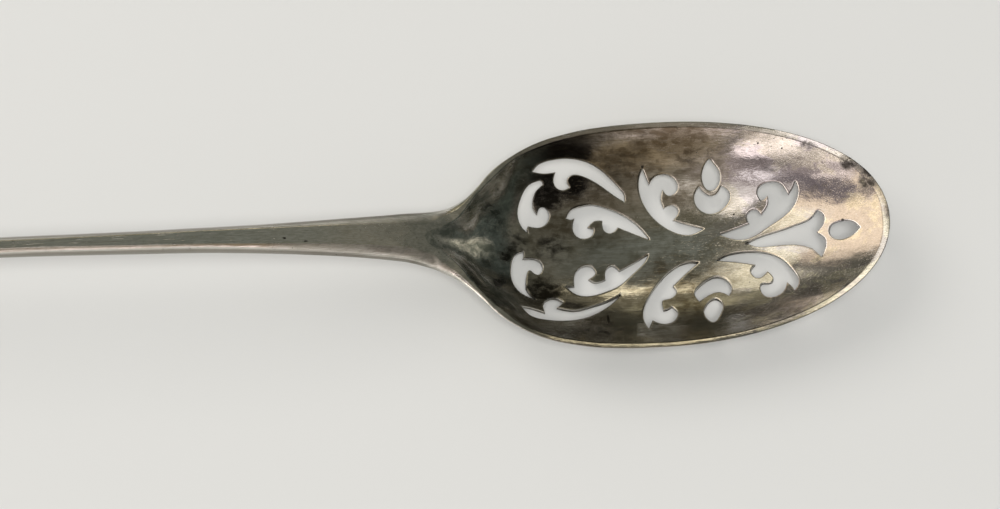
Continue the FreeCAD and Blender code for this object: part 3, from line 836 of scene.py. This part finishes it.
    def edge_row(self, x: float, way: int) -> list:
        """Points of the rounded outer edge at x, from the flat top to the widest line."""
        form = self.form
        wide, side = form.half_width(x), form.sideways(x)
        depth = wide - form.half_flat(x) if x <= 0 else form.edge_round
        lean = 0.0
        if x > 0:
            share = x / form.bowl_front
            ahead = form.outline_share(min(share + NUDGE, 1.0)) - form.outline_share(share - NUDGE)
            lean = math.atan2(-ahead * form.half, 2 * NUDGE * form.bowl_front)
            if x >= form.bowl_front - 1e-6:
                lean = math.pi / 2
        found = []
        for out, fall in map(flank, EDGE_STEPS):
            inward = depth * (1 - out)
            back = x - inward * math.sin(lean)
            found.append((back, side + way * (wide - inward * math.cos(lean)),
                          form.top(back) - form.drop(x) * fall))
        return found

    def land(self, weld: Weld, rim: list, border: list) -> None:
        """The narrow flat top of the rim, widening into the flat top of the neck."""
        spots = [p[:2] for p in rim] + border
        loops = [list(range(len(rim))), list(range(len(rim), len(spots)))]
        ring, outer = np.array(spots[:len(rim)]), np.array(border)
        for line, way, steps in ((ring, 1, RING_ROWS), (outer, -1, OUTER_ROWS)):
            for step in steps:
                for x, y in beside(line, way * step):
                    near, far = distances(ring, x, y).min(), distances(outer, x, y).min()
                    own = near if way > 0 else far
                    if min(near, far) < min(step * 0.9, 0.05) or own < step * 0.9:
                        continue
                    spot = np.array([(x, y)])
                    if within(spot, outer)[0] and not within(spot, ring)[0]:
                        spots.append((x, y))
        flat, origins, triangles = triangulate(spots, loops, border=1)
        numbers = []
        for p, origin in zip(flat, origins):
            x, y = spots[origin[0]] if origin else p
            near, far = distances(ring, x, y).min(), distances(outer, x, y).min()
            rise = self.rim_crown * 4 * near * far / (near + far) ** 2
            rise *= fade(x, self.seam, self.seam + CROWN_LENGTH)
            rise -= self.form.rim_fall(x) * far / (near + far)
            numbers.append(weld.point((x, y, self.form.top(x) + rise), self.rubbing(x)))
        for triangle in triangles:
            weld.face([numbers[k] for k in triangle])

    def mesh(self, weld: Weld) -> None:
        """Adds the whole bowl to the mesh."""
        outlines = [piercing.outline(self.outline_step) for piercing in self.pattern]
        behind = []
        for outline in outlines:
            saw = self.saw_direction(outline)
            behind.append([self.behind(p, saw) for p in outline])
        rim = self.hollow_rim()
        tops = self.sheet(weld, Side.INSIDE, rim, outlines)
        neck = self.neck_stations()[:-1]
        stations = neck + self.rim_stations()
        rows = [self.edge_row(x, -1) for x in stations]
        rows += [self.edge_row(x, 1) for x in reversed(stations[:-1])]
        across = Stem.top_row(self.form, self.land_start)[1:-1]
        self.land(weld, rim, [p[:2] for p in [row[0] for row in rows] + across])
        rows = rows[len(neck):-len(neck)]
        numbered = [[weld.point(p, self.rubbing(p[0])) for p in row] for row in rows]
        for first, second in zip(numbered, numbered[1:]):
            weld.strip(first, second)
        back_rim = [row[-1] for row in rows] + Stem.under_row(self.form, self.seam)[1:-1]
        bottoms = self.sheet(weld, Side.BACK, back_rim, behind)
        self.walls(weld, tops, bottoms)
        log.info("bowl: %d points, sawn with %s", len(weld.points),
                 ", ".join(piercing.name for piercing in self.pattern))


@dataclass
class Stem:
    """The solid neck, stem and spear point, as rows of points round each section."""

    form: SpoonForm

    @staticmethod
    def top_row(form: SpoonForm, x: float) -> list:
        """Points across the flat top at x, from left to right."""
        flat, side, top = form.half_flat(x), form.sideways(x), form.top(x)
        return [(x, side - flat * share, top) for share in TOP_SHARES]

    @staticmethod
    def under_row(form: SpoonForm, x: float) -> list:
        """Points round the back at x, from the left widest line to the right one."""
        wide, side = form.half_width(x), form.sideways(x)
        shares = [math.cos(math.pi * i / UNDER_STEPS) for i in range(UNDER_STEPS + 1)]
        return [(x, side + wide * share, form.below(x, share)) for share in shares]

    def row(self, x: float) -> list:
        """Points round the section at x, from the right edge of the flat top to the left one."""
        form = self.form
        wide, flat, side = form.half_width(x), form.half_flat(x), form.sideways(x)
        top, drop = form.top(x), form.drop(x)
        right, left = [], []
        for out, fall in map(flank, EDGE_STEPS):
            right.append((x, side - flat - (wide - flat) * out, top - drop * fall))
            left.append((x, side + flat + (wide - flat) * out, top - drop * fall))
        return right + self.under_row(form, x)[::-1][1:-1] + left[::-1]

    def stations(self, bowl: Bowl) -> tuple:
        """Places along the stem, and those along the neck whose top belongs to the bowl."""
        form = self.form
        spear = [form.stem(s) for s in np.linspace(1.0, 0.85, SPEAR_STEPS)]
        rod = [form.stem(s) for s in np.linspace(0.85, 0.1, ROD_STEPS)[1:]]
        neck = list(np.linspace(form.stem(0.1), bowl.land_start, STEM_STEPS)[1:])
        return spear + rod + neck, bowl.neck_stations()

    def mesh(self, weld: Weld, bowl: Bowl) -> None:
        """Adds the stem to the mesh."""
        closed, opened = self.stations(bowl)
        rows = []
        for x in closed:
            ring, top = ([weld.point(p, STEM_WEAR) for p in points]
                         for points in (self.row(x), self.top_row(self.form, x)))
            rows.append(ring + top[1:-1])
        for first, second in zip(rows, rows[1:]):
            weld.strip(first + first[:1], second + second[:1])
        weld.face(rows[0][::-1])
        lines = [[weld.point(p, STEM_WEAR) for p in self.row(x)] for x in opened]
        for first, second in zip(lines, lines[1:]):
            weld.strip(first, second)
        log.info("stem: %d points in all", len(weld.points))


def srgb(code: str) -> tuple:
    """Linear colour with alpha from a screen colour such as "#C8C2B4"."""
    found = []
    for i in (1, 3, 5):
        c = int(code[i:i + 2], 16) / 255
        found.append(c / 12.92 if c <= 0.04045 else ((c + 0.055) / 1.055) ** 2.4)
    return (*found, 1.0)


class Value:
    """An output of a node, which sums and steps can be written with as with a number."""

    def __init__(self, nodes: "Nodes", socket: bpy.types.NodeSocket) -> None:
        self.nodes = nodes
        self.socket = socket

    def __add__(self, other: "Value | float") -> "Value":
        return self.nodes.maths("ADD", self, other)

    def __sub__(self, other: "Value | float") -> "Value":
        return self.nodes.maths("SUBTRACT", self, other)

    def __rsub__(self, other: "Value | float") -> "Value":
        return self.nodes.maths("SUBTRACT", other, self)

    def __mul__(self, other: "Value | float") -> "Value":
        return self.nodes.maths("MULTIPLY", self, other)

    def most(self, other: "Value | float") -> "Value":
        """The larger of this and another."""
        return self.nodes.maths("MAXIMUM", self, other)

    def ramp(self, low: float, high: float, start: float = 0.0, end: float = 1.0) -> "Value":
        """Smooth step of this from low to high, as start to end."""
        return self.nodes.value("ShaderNodeMapRange", {
            "Value": self, "From Min": low, "From Max": high, "To Min": start, "To Max": end},
            interpolation_type="SMOOTHSTEP")


class Nodes:
    """Adds and joins shader nodes."""

    def __init__(self, tree: bpy.types.NodeTree) -> None:
        self.tree = tree
        self.tree.nodes.clear()

    def add(self, kind: str, inputs: dict = None, **settings) -> bpy.types.Node:
        """Adds a node.

        Args:
            kind: the node's type.
            inputs: numbers, colours or values to join, by the input's name or number.
            settings: the node's own settings.

        Returns:
            The new node.
        """
        node = self.tree.nodes.new(kind)
        for name, value in settings.items():
            setattr(node, name, value)
        for name, value in (inputs or {}).items():
            if isinstance(value, Value):
                self.tree.links.new(value.socket, node.inputs[name])
            else:
                node.inputs[name].default_value = value
        return node

    def value(self, kind: str, inputs: dict = None, output: "int | str" = 0, **settings) -> Value:
        """Adds a node and gives the output with that name or number."""
        return Value(self, self.add(kind, inputs, **settings).outputs[output])

    def maths(self, operation: str, *numbers: "Value | float") -> Value:
        """Result of a sum on numbers or values."""
        return self.value("ShaderNodeMath", dict(enumerate(numbers)), operation=operation)

    def vector(self, operation: str, inputs: dict, output: "int | str" = 0) -> Value:
        """Result of a sum on vectors."""
        return self.value("ShaderNodeVectorMath", inputs, output, operation=operation)

    def split(self, vector: Value) -> list:
        """The three parts of a vector."""
        return [Value(self, out) for out in self.add("ShaderNodeSeparateXYZ", {0: vector}).outputs]

    def mix(self, share: "Value | float", first: "Value | str | tuple",
            second: "Value | str | tuple") -> Value:
        """Mix of two colours, each a value, a screen colour or a linear colour."""
        first, second = (srgb(c) if isinstance(c, str) else c for c in (first, second))
        return self.value("ShaderNodeMix", {0: share, 6: first, 7: second}, 2, data_type="RGBA")

    def noise(self, place: Value, size_mm: float, wave: Wave, stretch: float = 1.0,
              turn: float = 0.0) -> Value:
        """Noise whose patches are about size_mm across, drawn out along X by stretch."""
        place = self.value("ShaderNodeMapping", {
            "Vector": place, "Rotation": (0.0, 0.0, turn),
            "Scale": (1 / (size_mm * stretch), 1 / size_mm, 1 / size_mm)})
        detail, rough, bent = wave.value
        return self.value("ShaderNodeTexNoise", {
            "Vector": place, "Scale": 1.0, "Detail": detail, "Roughness": rough,
            "Distortion": bent})

    def material(self, colour: "Value | tuple", roughness: "Value | float", **inputs) -> None:
        """Ends the tree of a material with its shader and output."""
        shader = self.value("ShaderNodeBsdfPrincipled", {
            "Base Color": colour, "Roughness": roughness, **inputs})
        self.add("ShaderNodeOutputMaterial", {0: shader})


# Places where the silver has blackened or is pitted: x, y, length, width and strength.
STAINS = [
    (-13.1, -2.9, 0.9, 0.8, 0.66),
    (-12.5, -0.6, 0.8, 0.9, 0.66),
    (-11.6, 0.6, 1.6, 1.5, 0.6),
    (-9.6, -3.4, 2.4, 1.4, 0.8),
    (-8.8, 4.4, 1.8, 1.6, 0.85),
    (-8.6, 0.2, 2.2, 1.9, 0.55),
    (-14.4, -1.6, 1.7, 2.6, 0.45),
    (-13.3, 3.0, 1.7, 1.7, 0.45),
    (-5.0, -7.2, 3.2, 1.4, 0.5),
    (-4.4, -6.3, 0.14, 0.5, 1.0),
    (9.1, -5.6, 0.3, 0.25, 0.9),
    (12.4, -1.2, 0.3, 0.3, 0.9),
    (6.6, 2.1, 0.11, 0.1, 1.0),
    (7.5, -0.4, 0.32, 0.2, 1.0),
    (-0.72, 6.35, 0.14, 0.14, 1.0),
    (15.05, 0.36, 0.13, 0.12, 1.0),
    (17.1, 3.3, 0.8, 1.5, 0.8),
    (15.9, 4.9, 1.3, 0.9, 0.8),
    (12.6, 6.5, 1.1, 0.5, 0.6),
    (15.4, -3.8, 2.0, 1.1, 0.5),
    (13.4, -3.0, 1.8, 0.9, 0.5),
    (8.7, 7.2, 0.1, 0.09, 1.0),
    (10.6, 6.6, 0.09, 0.09, 1.0),
    (13.4, 3.0, 1.8, 0.9, 0.45),
    (10.2, 5.4, 2.4, 0.7, 0.45),
    (4.0, 6.8, 3.4, 1.0, 0.42),
    (9.5, -6.9, 5.0, 1.2, 0.45),
    (12.0, -5.2, 2.2, 0.9, 0.45),
    (-30.0, 0.4, 0.22, 0.13, 1.0),
    (-28.3, 0.1, 0.25, 0.08, 0.9),
]


@dataclass(frozen=True)
class AgedSilver:
    """Sterling silver, hammered to shape, sawn through, and rubbed by two centuries of hands.

    Bare silver is the brightest metal there is, so what dims it here lies on top: a thin
    grey-brown and violet sulphide film, black deposits at the sawn edges and in the heel,
    long fine scratches from wiping that drag what it mirrors out into streaks, and painted
    shade low on the wall, between the scrolls, in a line inside the rim, on the sawn walls and
    on the steep sides of the neck and stem.  Heights in the bump are millimetres.  So are the
    spans of the ramps on x, which falls towards the stem, and on y, which falls towards the
    viewer.
    """

    bright: str = "#F8F5EF"
    rubbed: str = "#E2DED3"
    grey_film: str = "#A8A28F"
    brown_film: str = "#857964"
    green_film: str = "#7C837A"
    # Tarnish of the back and the pits, also used as painted shade on the steep sides of the neck
    # and stem.
    back_film_and_shade: str = "#736E63"
    violet_film: str = "#B5AFBD"
    # Colour of the painted shade on the lower wall and between the scrolls.
    low_shade: str = "#3B3A30"
    # Black of old polish, also used as painted shade on the sawn walls and along the inside of the
    # rim.
    grime_and_shade: str = "#1D1A15"
    roughness_low: float = 0.075
    roughness_high: float = 0.21
    brush_height: float = 0.004
    grain_height: float = 0.0012
    scratch_height: float = 0.003
    mottle_height: float = 0.008
    ripple_height: float = 0.03
    file_height: float = 0.02

    def make(self, form: SpoonForm) -> bpy.types.Material:
        """Builds the material.

        Args:
            form: the spoon's sizes, which place the films and marks.

        Returns:
            The finished material.
        """
        material = bpy.data.materials.new("aged_silver")
        material.use_nodes = True
        nodes = Nodes(material.node_tree)
        place = nodes.value("ShaderNodeTexCoord", output="Object")
        place = nodes.vector("SCALE", {0: place, "Scale": 1 / MM})
        place = nodes.vector("SUBTRACT", {0: place, 1: (form.middle_shift, 0.0, 0.0)})
        x, y, _ = nodes.split(place)
        wear, cut = (nodes.value("ShaderNodeAttribute", output="Fac", attribute_name=name)
                     for name in ("wear", "cut"))
        clouds = nodes.noise(place, 2.6, Wave.CLOUDY, 2.2, 0.1)
        mottle = nodes.noise(place, 0.6, Wave.CLOUDY, 1.6)
        broad = nodes.noise(place, 8.0, Wave.SOFT)
        grain = nodes.noise(place, 0.1, Wave.GRAINY)
        ripple = nodes.noise(place, 1.3, Wave.SOFT, 2.4, 0.08)
        brushed = nodes.noise(place, 0.08, Wave.SOFT, 45, 0.06)
        fine = nodes.noise(place, 0.2, Wave.GRAINY, 2.2, 0.1)

        # Sulphide: thin where wiping reaches, on the edges and the stem.  Low on the wall towards
        # the viewer it is laid on thicker as painted shade.  It is grey-green in the heel, brown or
        # grey above, and violet near the tip.
        low_wall_shade = y.ramp(-4.8, -7.2, 0.0, 0.5)
        film = clouds.ramp(0.42, 0.58) * 0.6 + mottle.ramp(0.42, 0.6) * 0.4
        film = (film * (1.0 - wear)).most(low_wall_shade)
        depth = (x.ramp(10.0, 2.0, 0.3, 0.9) * x.ramp(-24.0, -19.0, 0.25, 1.0)).most(low_wall_shade)
        tint = nodes.mix(broad.ramp(0.42, 0.6), self.grey_film, self.brown_film)
        tint = nodes.mix(x.ramp(-9.0, -13.0), tint, self.green_film)
        colour = nodes.mix(brushed.ramp(0.3, 0.7), self.bright, self.rubbed)
        colour = nodes.mix(film * depth, colour, tint)
        violet = clouds.ramp(0.52, 0.46) * x.ramp(2.0, 9.0)
        colour = nodes.mix(violet * 0.5, colour, self.violet_film)

        # Painted shade: the lower wall and the middle between the scrolls are darkened for the dark
        # they mirror, and pits dull it all.
        shaded = y.ramp(-5.4, -7.8) * x.ramp(13.0, 3.0, 0.5, 0.6) * (1.0 - wear)
        shaded = shaded * x.ramp(-17.0, -12.0)
        middle = x.ramp(1.0, -5.0) * x.ramp(-15.0, -11.0)
        colour = nodes.mix(shaded.most(middle * 0.33), colour, self.low_shade)
        colour = nodes.mix(fine.ramp(0.52, 0.68) * 0.3, colour, self.back_film_and_shade)

        # Fingers never polish the steep sides of the neck and stem, so they are darker; this is
        # also painted shade, set by which way the surface faces and stronger on the far side.
        _, across, up = nodes.split(nodes.value("ShaderNodeNewGeometry", output="True Normal"))
        flatness = nodes.maths("MINIMUM", up, up - across * 0.3)
        unrubbed_and_shaded = flatness.ramp(0.6, 0.4) * x.ramp(-15.0, -20.0)
        colour = nodes.mix(unrubbed_and_shaded * 0.8, colour, self.back_film_and_shade)

        # Old polish stays black in the pits and on the sawn walls, where the black is partly
        # painted shade as well; the dark line beside the rim is painted shade.
        specks = nodes.value("ShaderNodeTexVoronoi", {"Vector": place, "Scale": 1.1}, "Distance",
                             feature="F1")
        specks = specks.ramp(0.09, 0.02) * clouds.ramp(0.48, 0.56, 0.0, 0.8)
        dirt_and_shade = self.stains(nodes, place, mottle, grain).most(specks)
        dirt_and_shade = dirt_and_shade.most(cut * mottle.ramp(0.4, 0.6, 0.5, 0.9))
        colour = nodes.mix(dirt_and_shade * 0.9, colour, self.grime_and_shade)

        # The file left the flanks of the neck rough.
        lines = self.scratches(nodes, place)
        filed = x.ramp(-33.0, -27.0) * x.ramp(-15.0, -18.5) * up.ramp(0.985, 0.9)
        rough = clouds.ramp(0.38, 0.62, self.roughness_low, self.roughness_high)
        rough = rough + lines * 0.1 + dirt_and_shade * 0.25 + filed * 0.3
        heights = ripple * self.ripple_height
        for wave, size in ((brushed, self.brush_height), (lines, -self.scratch_height),
                           (grain, self.grain_height), (mottle, self.mottle_height)):
            heights = heights + wave * size
        file_marks = nodes.noise(place, 0.14, Wave.SOFT, 30, 0.12) * filed
        heights = heights + file_marks * self.file_height
        bump = nodes.value("ShaderNodeBump", {"Height": heights, "Strength": 1.0, "Distance": MM})
        nodes.material(colour, rough, Metallic=1.0, Normal=bump)
        return material

    def scratches(self, nodes: Nodes, place: Value) -> Value:
        """Fine crossing lines from wiping and from the polishing stick."""
        found = None
        for turn, size in ((0.15, 0.05), (-0.5, 0.07), (1.25, 0.06)):
            threads = nodes.noise(place, size, Wave.SOFT, 60, turn)
            gates = nodes.noise(place, 2.5, Wave.SOFT, 1.0, turn)
            line = threads.ramp(0.66, 0.74) * gates.ramp(0.45, 0.6)
            found = found.most(line) if found else line
        return found

    def stains(self, nodes: Nodes, place: Value, mottle: Value, grain: Value) -> Value:
        """Blackened places, broken up by the mottling of the metal."""
        found = None
        for x, y, long, wide, strength in STAINS:
            away = nodes.vector("SUBTRACT", {0: place, 1: (x, y, 0.0)})
            away = nodes.vector("MULTIPLY", {0: away, 1: (1 / long, 1 / wide, 0.0)})
            spot = nodes.vector("LENGTH", {0: away}, "Value").ramp(1.4, 0.3, 0.0, strength)
            found = found.most(spot) if found else spot
        uneven = mottle * 2.6 + grain * 1.4
        return (found * (uneven - 1.0)).ramp(0.3, 0.9)


@dataclass(frozen=True)
class RoomPatch:
    """A soft area of the room that the silver mirrors, placed by compass and height in degrees."""

    azimuth: float
    elevation: float
    wide: float
    high: float
    soft: float
    colour: str
    gain: float = 1.0


ROOM = [RoomPatch(*row) for row in (
    (90, 88, 60, 34, 0.8, "#656760"),
    (-92, 35, 40, 48, 0.7, "#7B7469"),
    (-94, 3, 12, 10, 0.5, "#F6E6E3", 1.15),
    (-90, 20, 12, 14, 0.6, "#82745F"),
    (-96, 27, 5, 5, 0.7, "#A09484"),
    (-38, 35, 20, 24, 0.6, "#57504A"),
    (-67, 22, 14, 38, 0.15, "#0F0C09"),
    (-20, -5, 40, 40, 0.6, "#434943"),
    (15, 8, 34, 34, 0.6, "#424844"),
    (12, 12, 8, 8, 0.8, "#C9C4B4"),
    (62, 0, 28, 30, 0.6, "#2A2722"),
    (180, 33, 42, 25, 0.5, "#FFEACB", 1.2),
    (-128, 32, 25, 24, 0.5, "#9C918D"),
    (-117, 17, 11, 8, 0.25, "#FFF1EC", 1.5),
    (-138, 23, 9, 4.5, 0.35, "#FFF0E4", 1.3),
    (-129, 40, 10, 3.5, 0.35, "#F8F0EE", 1.4),
    (-147, 31, 5, 3, 0.35, "#FFF0E4", 1.4),
    (-120, 29, 11, 4, 0.4, "#79716E"),
    (-157, 40, 24, 6.5, 0.4, "#7D7575"),
    (-138, 53, 18, 7, 0.6, "#E4DDD6", 1.1),
    (-108, 53, 13, 4, 0.6, "#D9D2CB"),
    (-142, 66, 16, 7, 0.5, "#FFF6F0", 1.5),
    (180, 4, 60, 15, 0.4, "#FFFAF0", 2.3),
    (145, 50, 32, 6.5, 0.5, "#F4EEDF", 1.35),
    (124, 15, 18, 11, 0.6, "#5E5C50"),
    (92, 31, 20, 12, 0.7, "#77715F"),
    (96, 17, 12, 5, 0.7, "#A39C80"),
    (108, 3, 18, 8, 0.7, "#4E4C44"),
    (114, 32, 12, 9, 0.6, "#EFE7CF", 1.1),
    (117, 46, 10, 5, 0.35, "#FFF6DE", 1.45),
    (86, 39, 18, 3.5, 0.4, "#FFF3D4", 1.4),
)]


@dataclass(frozen=True)
class Studio:
    """Pale table, soft light and the room that shows in the silver."""

    floor: str = "#D5D5D3"
    backdrop: str = "#F6F5F3"
    room_base: str = "#6A685E"
    room_gain: float = 1.12
    fill: float = 0.5
    table_half: float = 1.5
    table_level: float = -0.00002
    aim: tuple = (0.04, 0.0, 0.0)

    def make(self) -> None:
        """Builds the floor, the lamps and the world."""
        mesh = bpy.data.meshes.new("table")
        corners = [(x * self.table_half, y * self.table_half, self.table_level)
                   for x, y in ((-1, -1), (1, -1), (1, 1), (-1, 1))]
        mesh.from_pydata(corners, [], [(0, 1, 2, 3)])
        table = bpy.data.objects.new("table", mesh)
        bpy.context.collection.objects.link(table)
        material = bpy.data.materials.new("table_top")
        material.use_nodes = True
        Nodes(material.node_tree).material(srgb(self.floor), 0.5)
        mesh.materials.append(material)
        self.lamp("window", (-0.3, 0.3, 0.5), 0.45, 1.4, "#FFFAF4")
        self.lamp("above", (0.03, -0.13, 0.6), 0.16, 1.9, "#FAFAF8")
        self.world()

    def lamp(self, name: str, place: tuple, size: float, power: float, colour: str) -> None:
        """A large soft lamp aimed at the bowl; the silver mirrors the room, not the lamp."""
        light = bpy.data.lights.new(name, "AREA")
        light.shape = "DISK"
        light.size = size
        light.energy = power
        light.color = srgb(colour)[:3]
        lamp = bpy.data.objects.new(name, light)
        lamp.location = place
        lamp.rotation_euler = (Vector(self.aim) - Vector(place)).to_track_quat("-Z", "Y").to_euler()
        lamp.visible_glossy = False
        bpy.context.collection.objects.link(lamp)

    def glow(self, colour: str, gain: float = 1.0) -> tuple:
        """Linear colour of a part of the room, which may be brighter than white."""
        return tuple(c * self.room_gain * gain for c in srgb(colour)[:3]) + (1.0,)

    def mirrored_room(self, nodes: Nodes) -> Value:
        """Colour of the room by direction, with its edges a little uneven."""
        way = nodes.value("ShaderNodeTexCoord", output="Generated")
        wander = nodes.value("ShaderNodeTexNoise", {
            "Vector": way, "Scale": 3.5, "Detail": 8.0, "Roughness": 0.62}, "Color")
        wander = nodes.vector("SUBTRACT", {0: wander, 1: (0.5, 0.5, 0.5)})
        wander = nodes.vector("SCALE", {0: wander, "Scale": 0.3})
        way = nodes.vector("NORMALIZE", {0: nodes.vector("ADD", {0: way, 1: wander})})
        x, y, z = nodes.split(way)
        compass, height = nodes.maths("ARCTAN2", y, x), nodes.maths("ARCSINE", z)
        room = self.glow(self.room_base)
        for patch in ROOM:
            turn = compass - math.radians(patch.azimuth)
            turn = nodes.maths("WRAP", turn, math.pi, -math.pi)
            lift = height - math.radians(patch.elevation)
            gap = nodes.value("ShaderNodeCombineXYZ", {
                0: nodes.maths("DIVIDE", turn, math.radians(patch.wide)),
                1: nodes.maths("DIVIDE", lift, math.radians(patch.high))})
            share = nodes.vector("LENGTH", {0: gap}, "Value").ramp(
                1.0 + patch.soft / 2, 1.0 - patch.soft / 2)
            room = nodes.mix(share, room, self.glow(patch.colour, patch.gain))
        return room

    def world(self) -> None:
        """White to the camera, even light for the table, and the room for the silver."""
        world = bpy.data.worlds.new("room")
        bpy.context.scene.world = world
        world.use_nodes = True
        nodes = Nodes(world.node_tree)
        mirrored, seen = (nodes.value("ShaderNodeLightPath", output=name)
                          for name in ("Is Glossy Ray", "Is Camera Ray"))
        colour = nodes.mix(mirrored, self.backdrop, self.mirrored_room(nodes))
        strength = mirrored.ramp(0.0, 1.0, self.fill, 1.0)
        light, white = (nodes.value("ShaderNodeBackground", {"Color": tone, "Strength": power})
                        for tone, power in ((colour, strength), (srgb(self.backdrop), 1.0)))
        both = nodes.value("ShaderNodeMixShader", {0: seen, 1: light, 2: white})
        nodes.add("ShaderNodeOutputWorld", {0: both})


@dataclass(frozen=True)
class Camera:
    """The photograph's viewpoint: above the bowl, leaning a little towards the viewer."""

    target: tuple = (38.5, -0.7, 4.0)
    distance: float = 220.0
    lean: float = 13.0
    turn: float = -3.4
    pixels_per_mm: float = 12.3
    sensor: float = 36.0

    def make(self) -> None:
        """Creates the camera and makes it the scene's own."""
        lean, turn = math.radians(self.lean), math.radians(self.turn)
        back = Vector((math.sin(turn) * math.sin(lean), -math.cos(turn) * math.sin(lean),
                       math.cos(lean)))
        right = Vector((math.cos(turn), math.sin(turn), 0.0))
        up = back.cross(right)
        data = bpy.data.cameras.new("camera")
        data.sensor_width = self.sensor
        data.lens = self.sensor * self.pixels_per_mm * self.distance / IMAGE_WIDTH
        data.clip_start = 0.01
        camera = bpy.data.objects.new("camera", data)
        spot = (Vector(self.target) + back * self.distance) * MM
        turned = Matrix((right, up, back)).transposed().to_4x4()
        camera.matrix_world = Matrix.Translation(spot) @ turned
        bpy.context.collection.objects.link(camera)
        bpy.context.scene.camera = camera


def make_spoon(form: SpoonForm) -> bpy.types.Object:
    """Builds the spoon as one closed mesh in the frame.

    Args:
        form: the spoon's sizes.

    Returns:
        The spoon's object, dressed in silver.
    """
    weld = Weld()
    bowl = Bowl(form, PATTERN)
    bowl.mesh(weld)
    Stem(form).mesh(weld, bowl)
    weld.tidy()
    mesh = bpy.data.meshes.new("silver_spoon")
    mesh.from_pydata([form.place(*p) for p in weld.points], [], weld.faces)
    mesh.validate()
    for name, values in (("wear", weld.wear), ("cut", weld.cut)):
        layer = mesh.attributes.new(name, "FLOAT", "POINT")
        layer.data.foreach_set("value", values[:len(mesh.vertices)])
    mesh.shade_smooth()
    spoon = bpy.data.objects.new("silver_spoon", mesh)
    bpy.context.collection.objects.link(spoon)
    mesh.materials.append(AgedSilver().make(form))
    log.info("spoon: %d faces", len(mesh.polygons))
    return spoon


def main() -> None:
    """Builds the scene in order: spoon, studio, camera."""
    logging.basicConfig(level=logging.INFO, format="%(name)s %(message)s")
    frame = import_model()
    form = SpoonForm()
    spoon = make_spoon(form)
    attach(spoon, "root")
    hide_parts("mote_spoon")
    log.info("nodes in the frame: %s", ", ".join(frame["nodes"]))
    Studio().make()
    Camera().make()
    bpy.context.scene.view_settings.view_transform = "Standard"


if __name__ == "__main__":
    main()
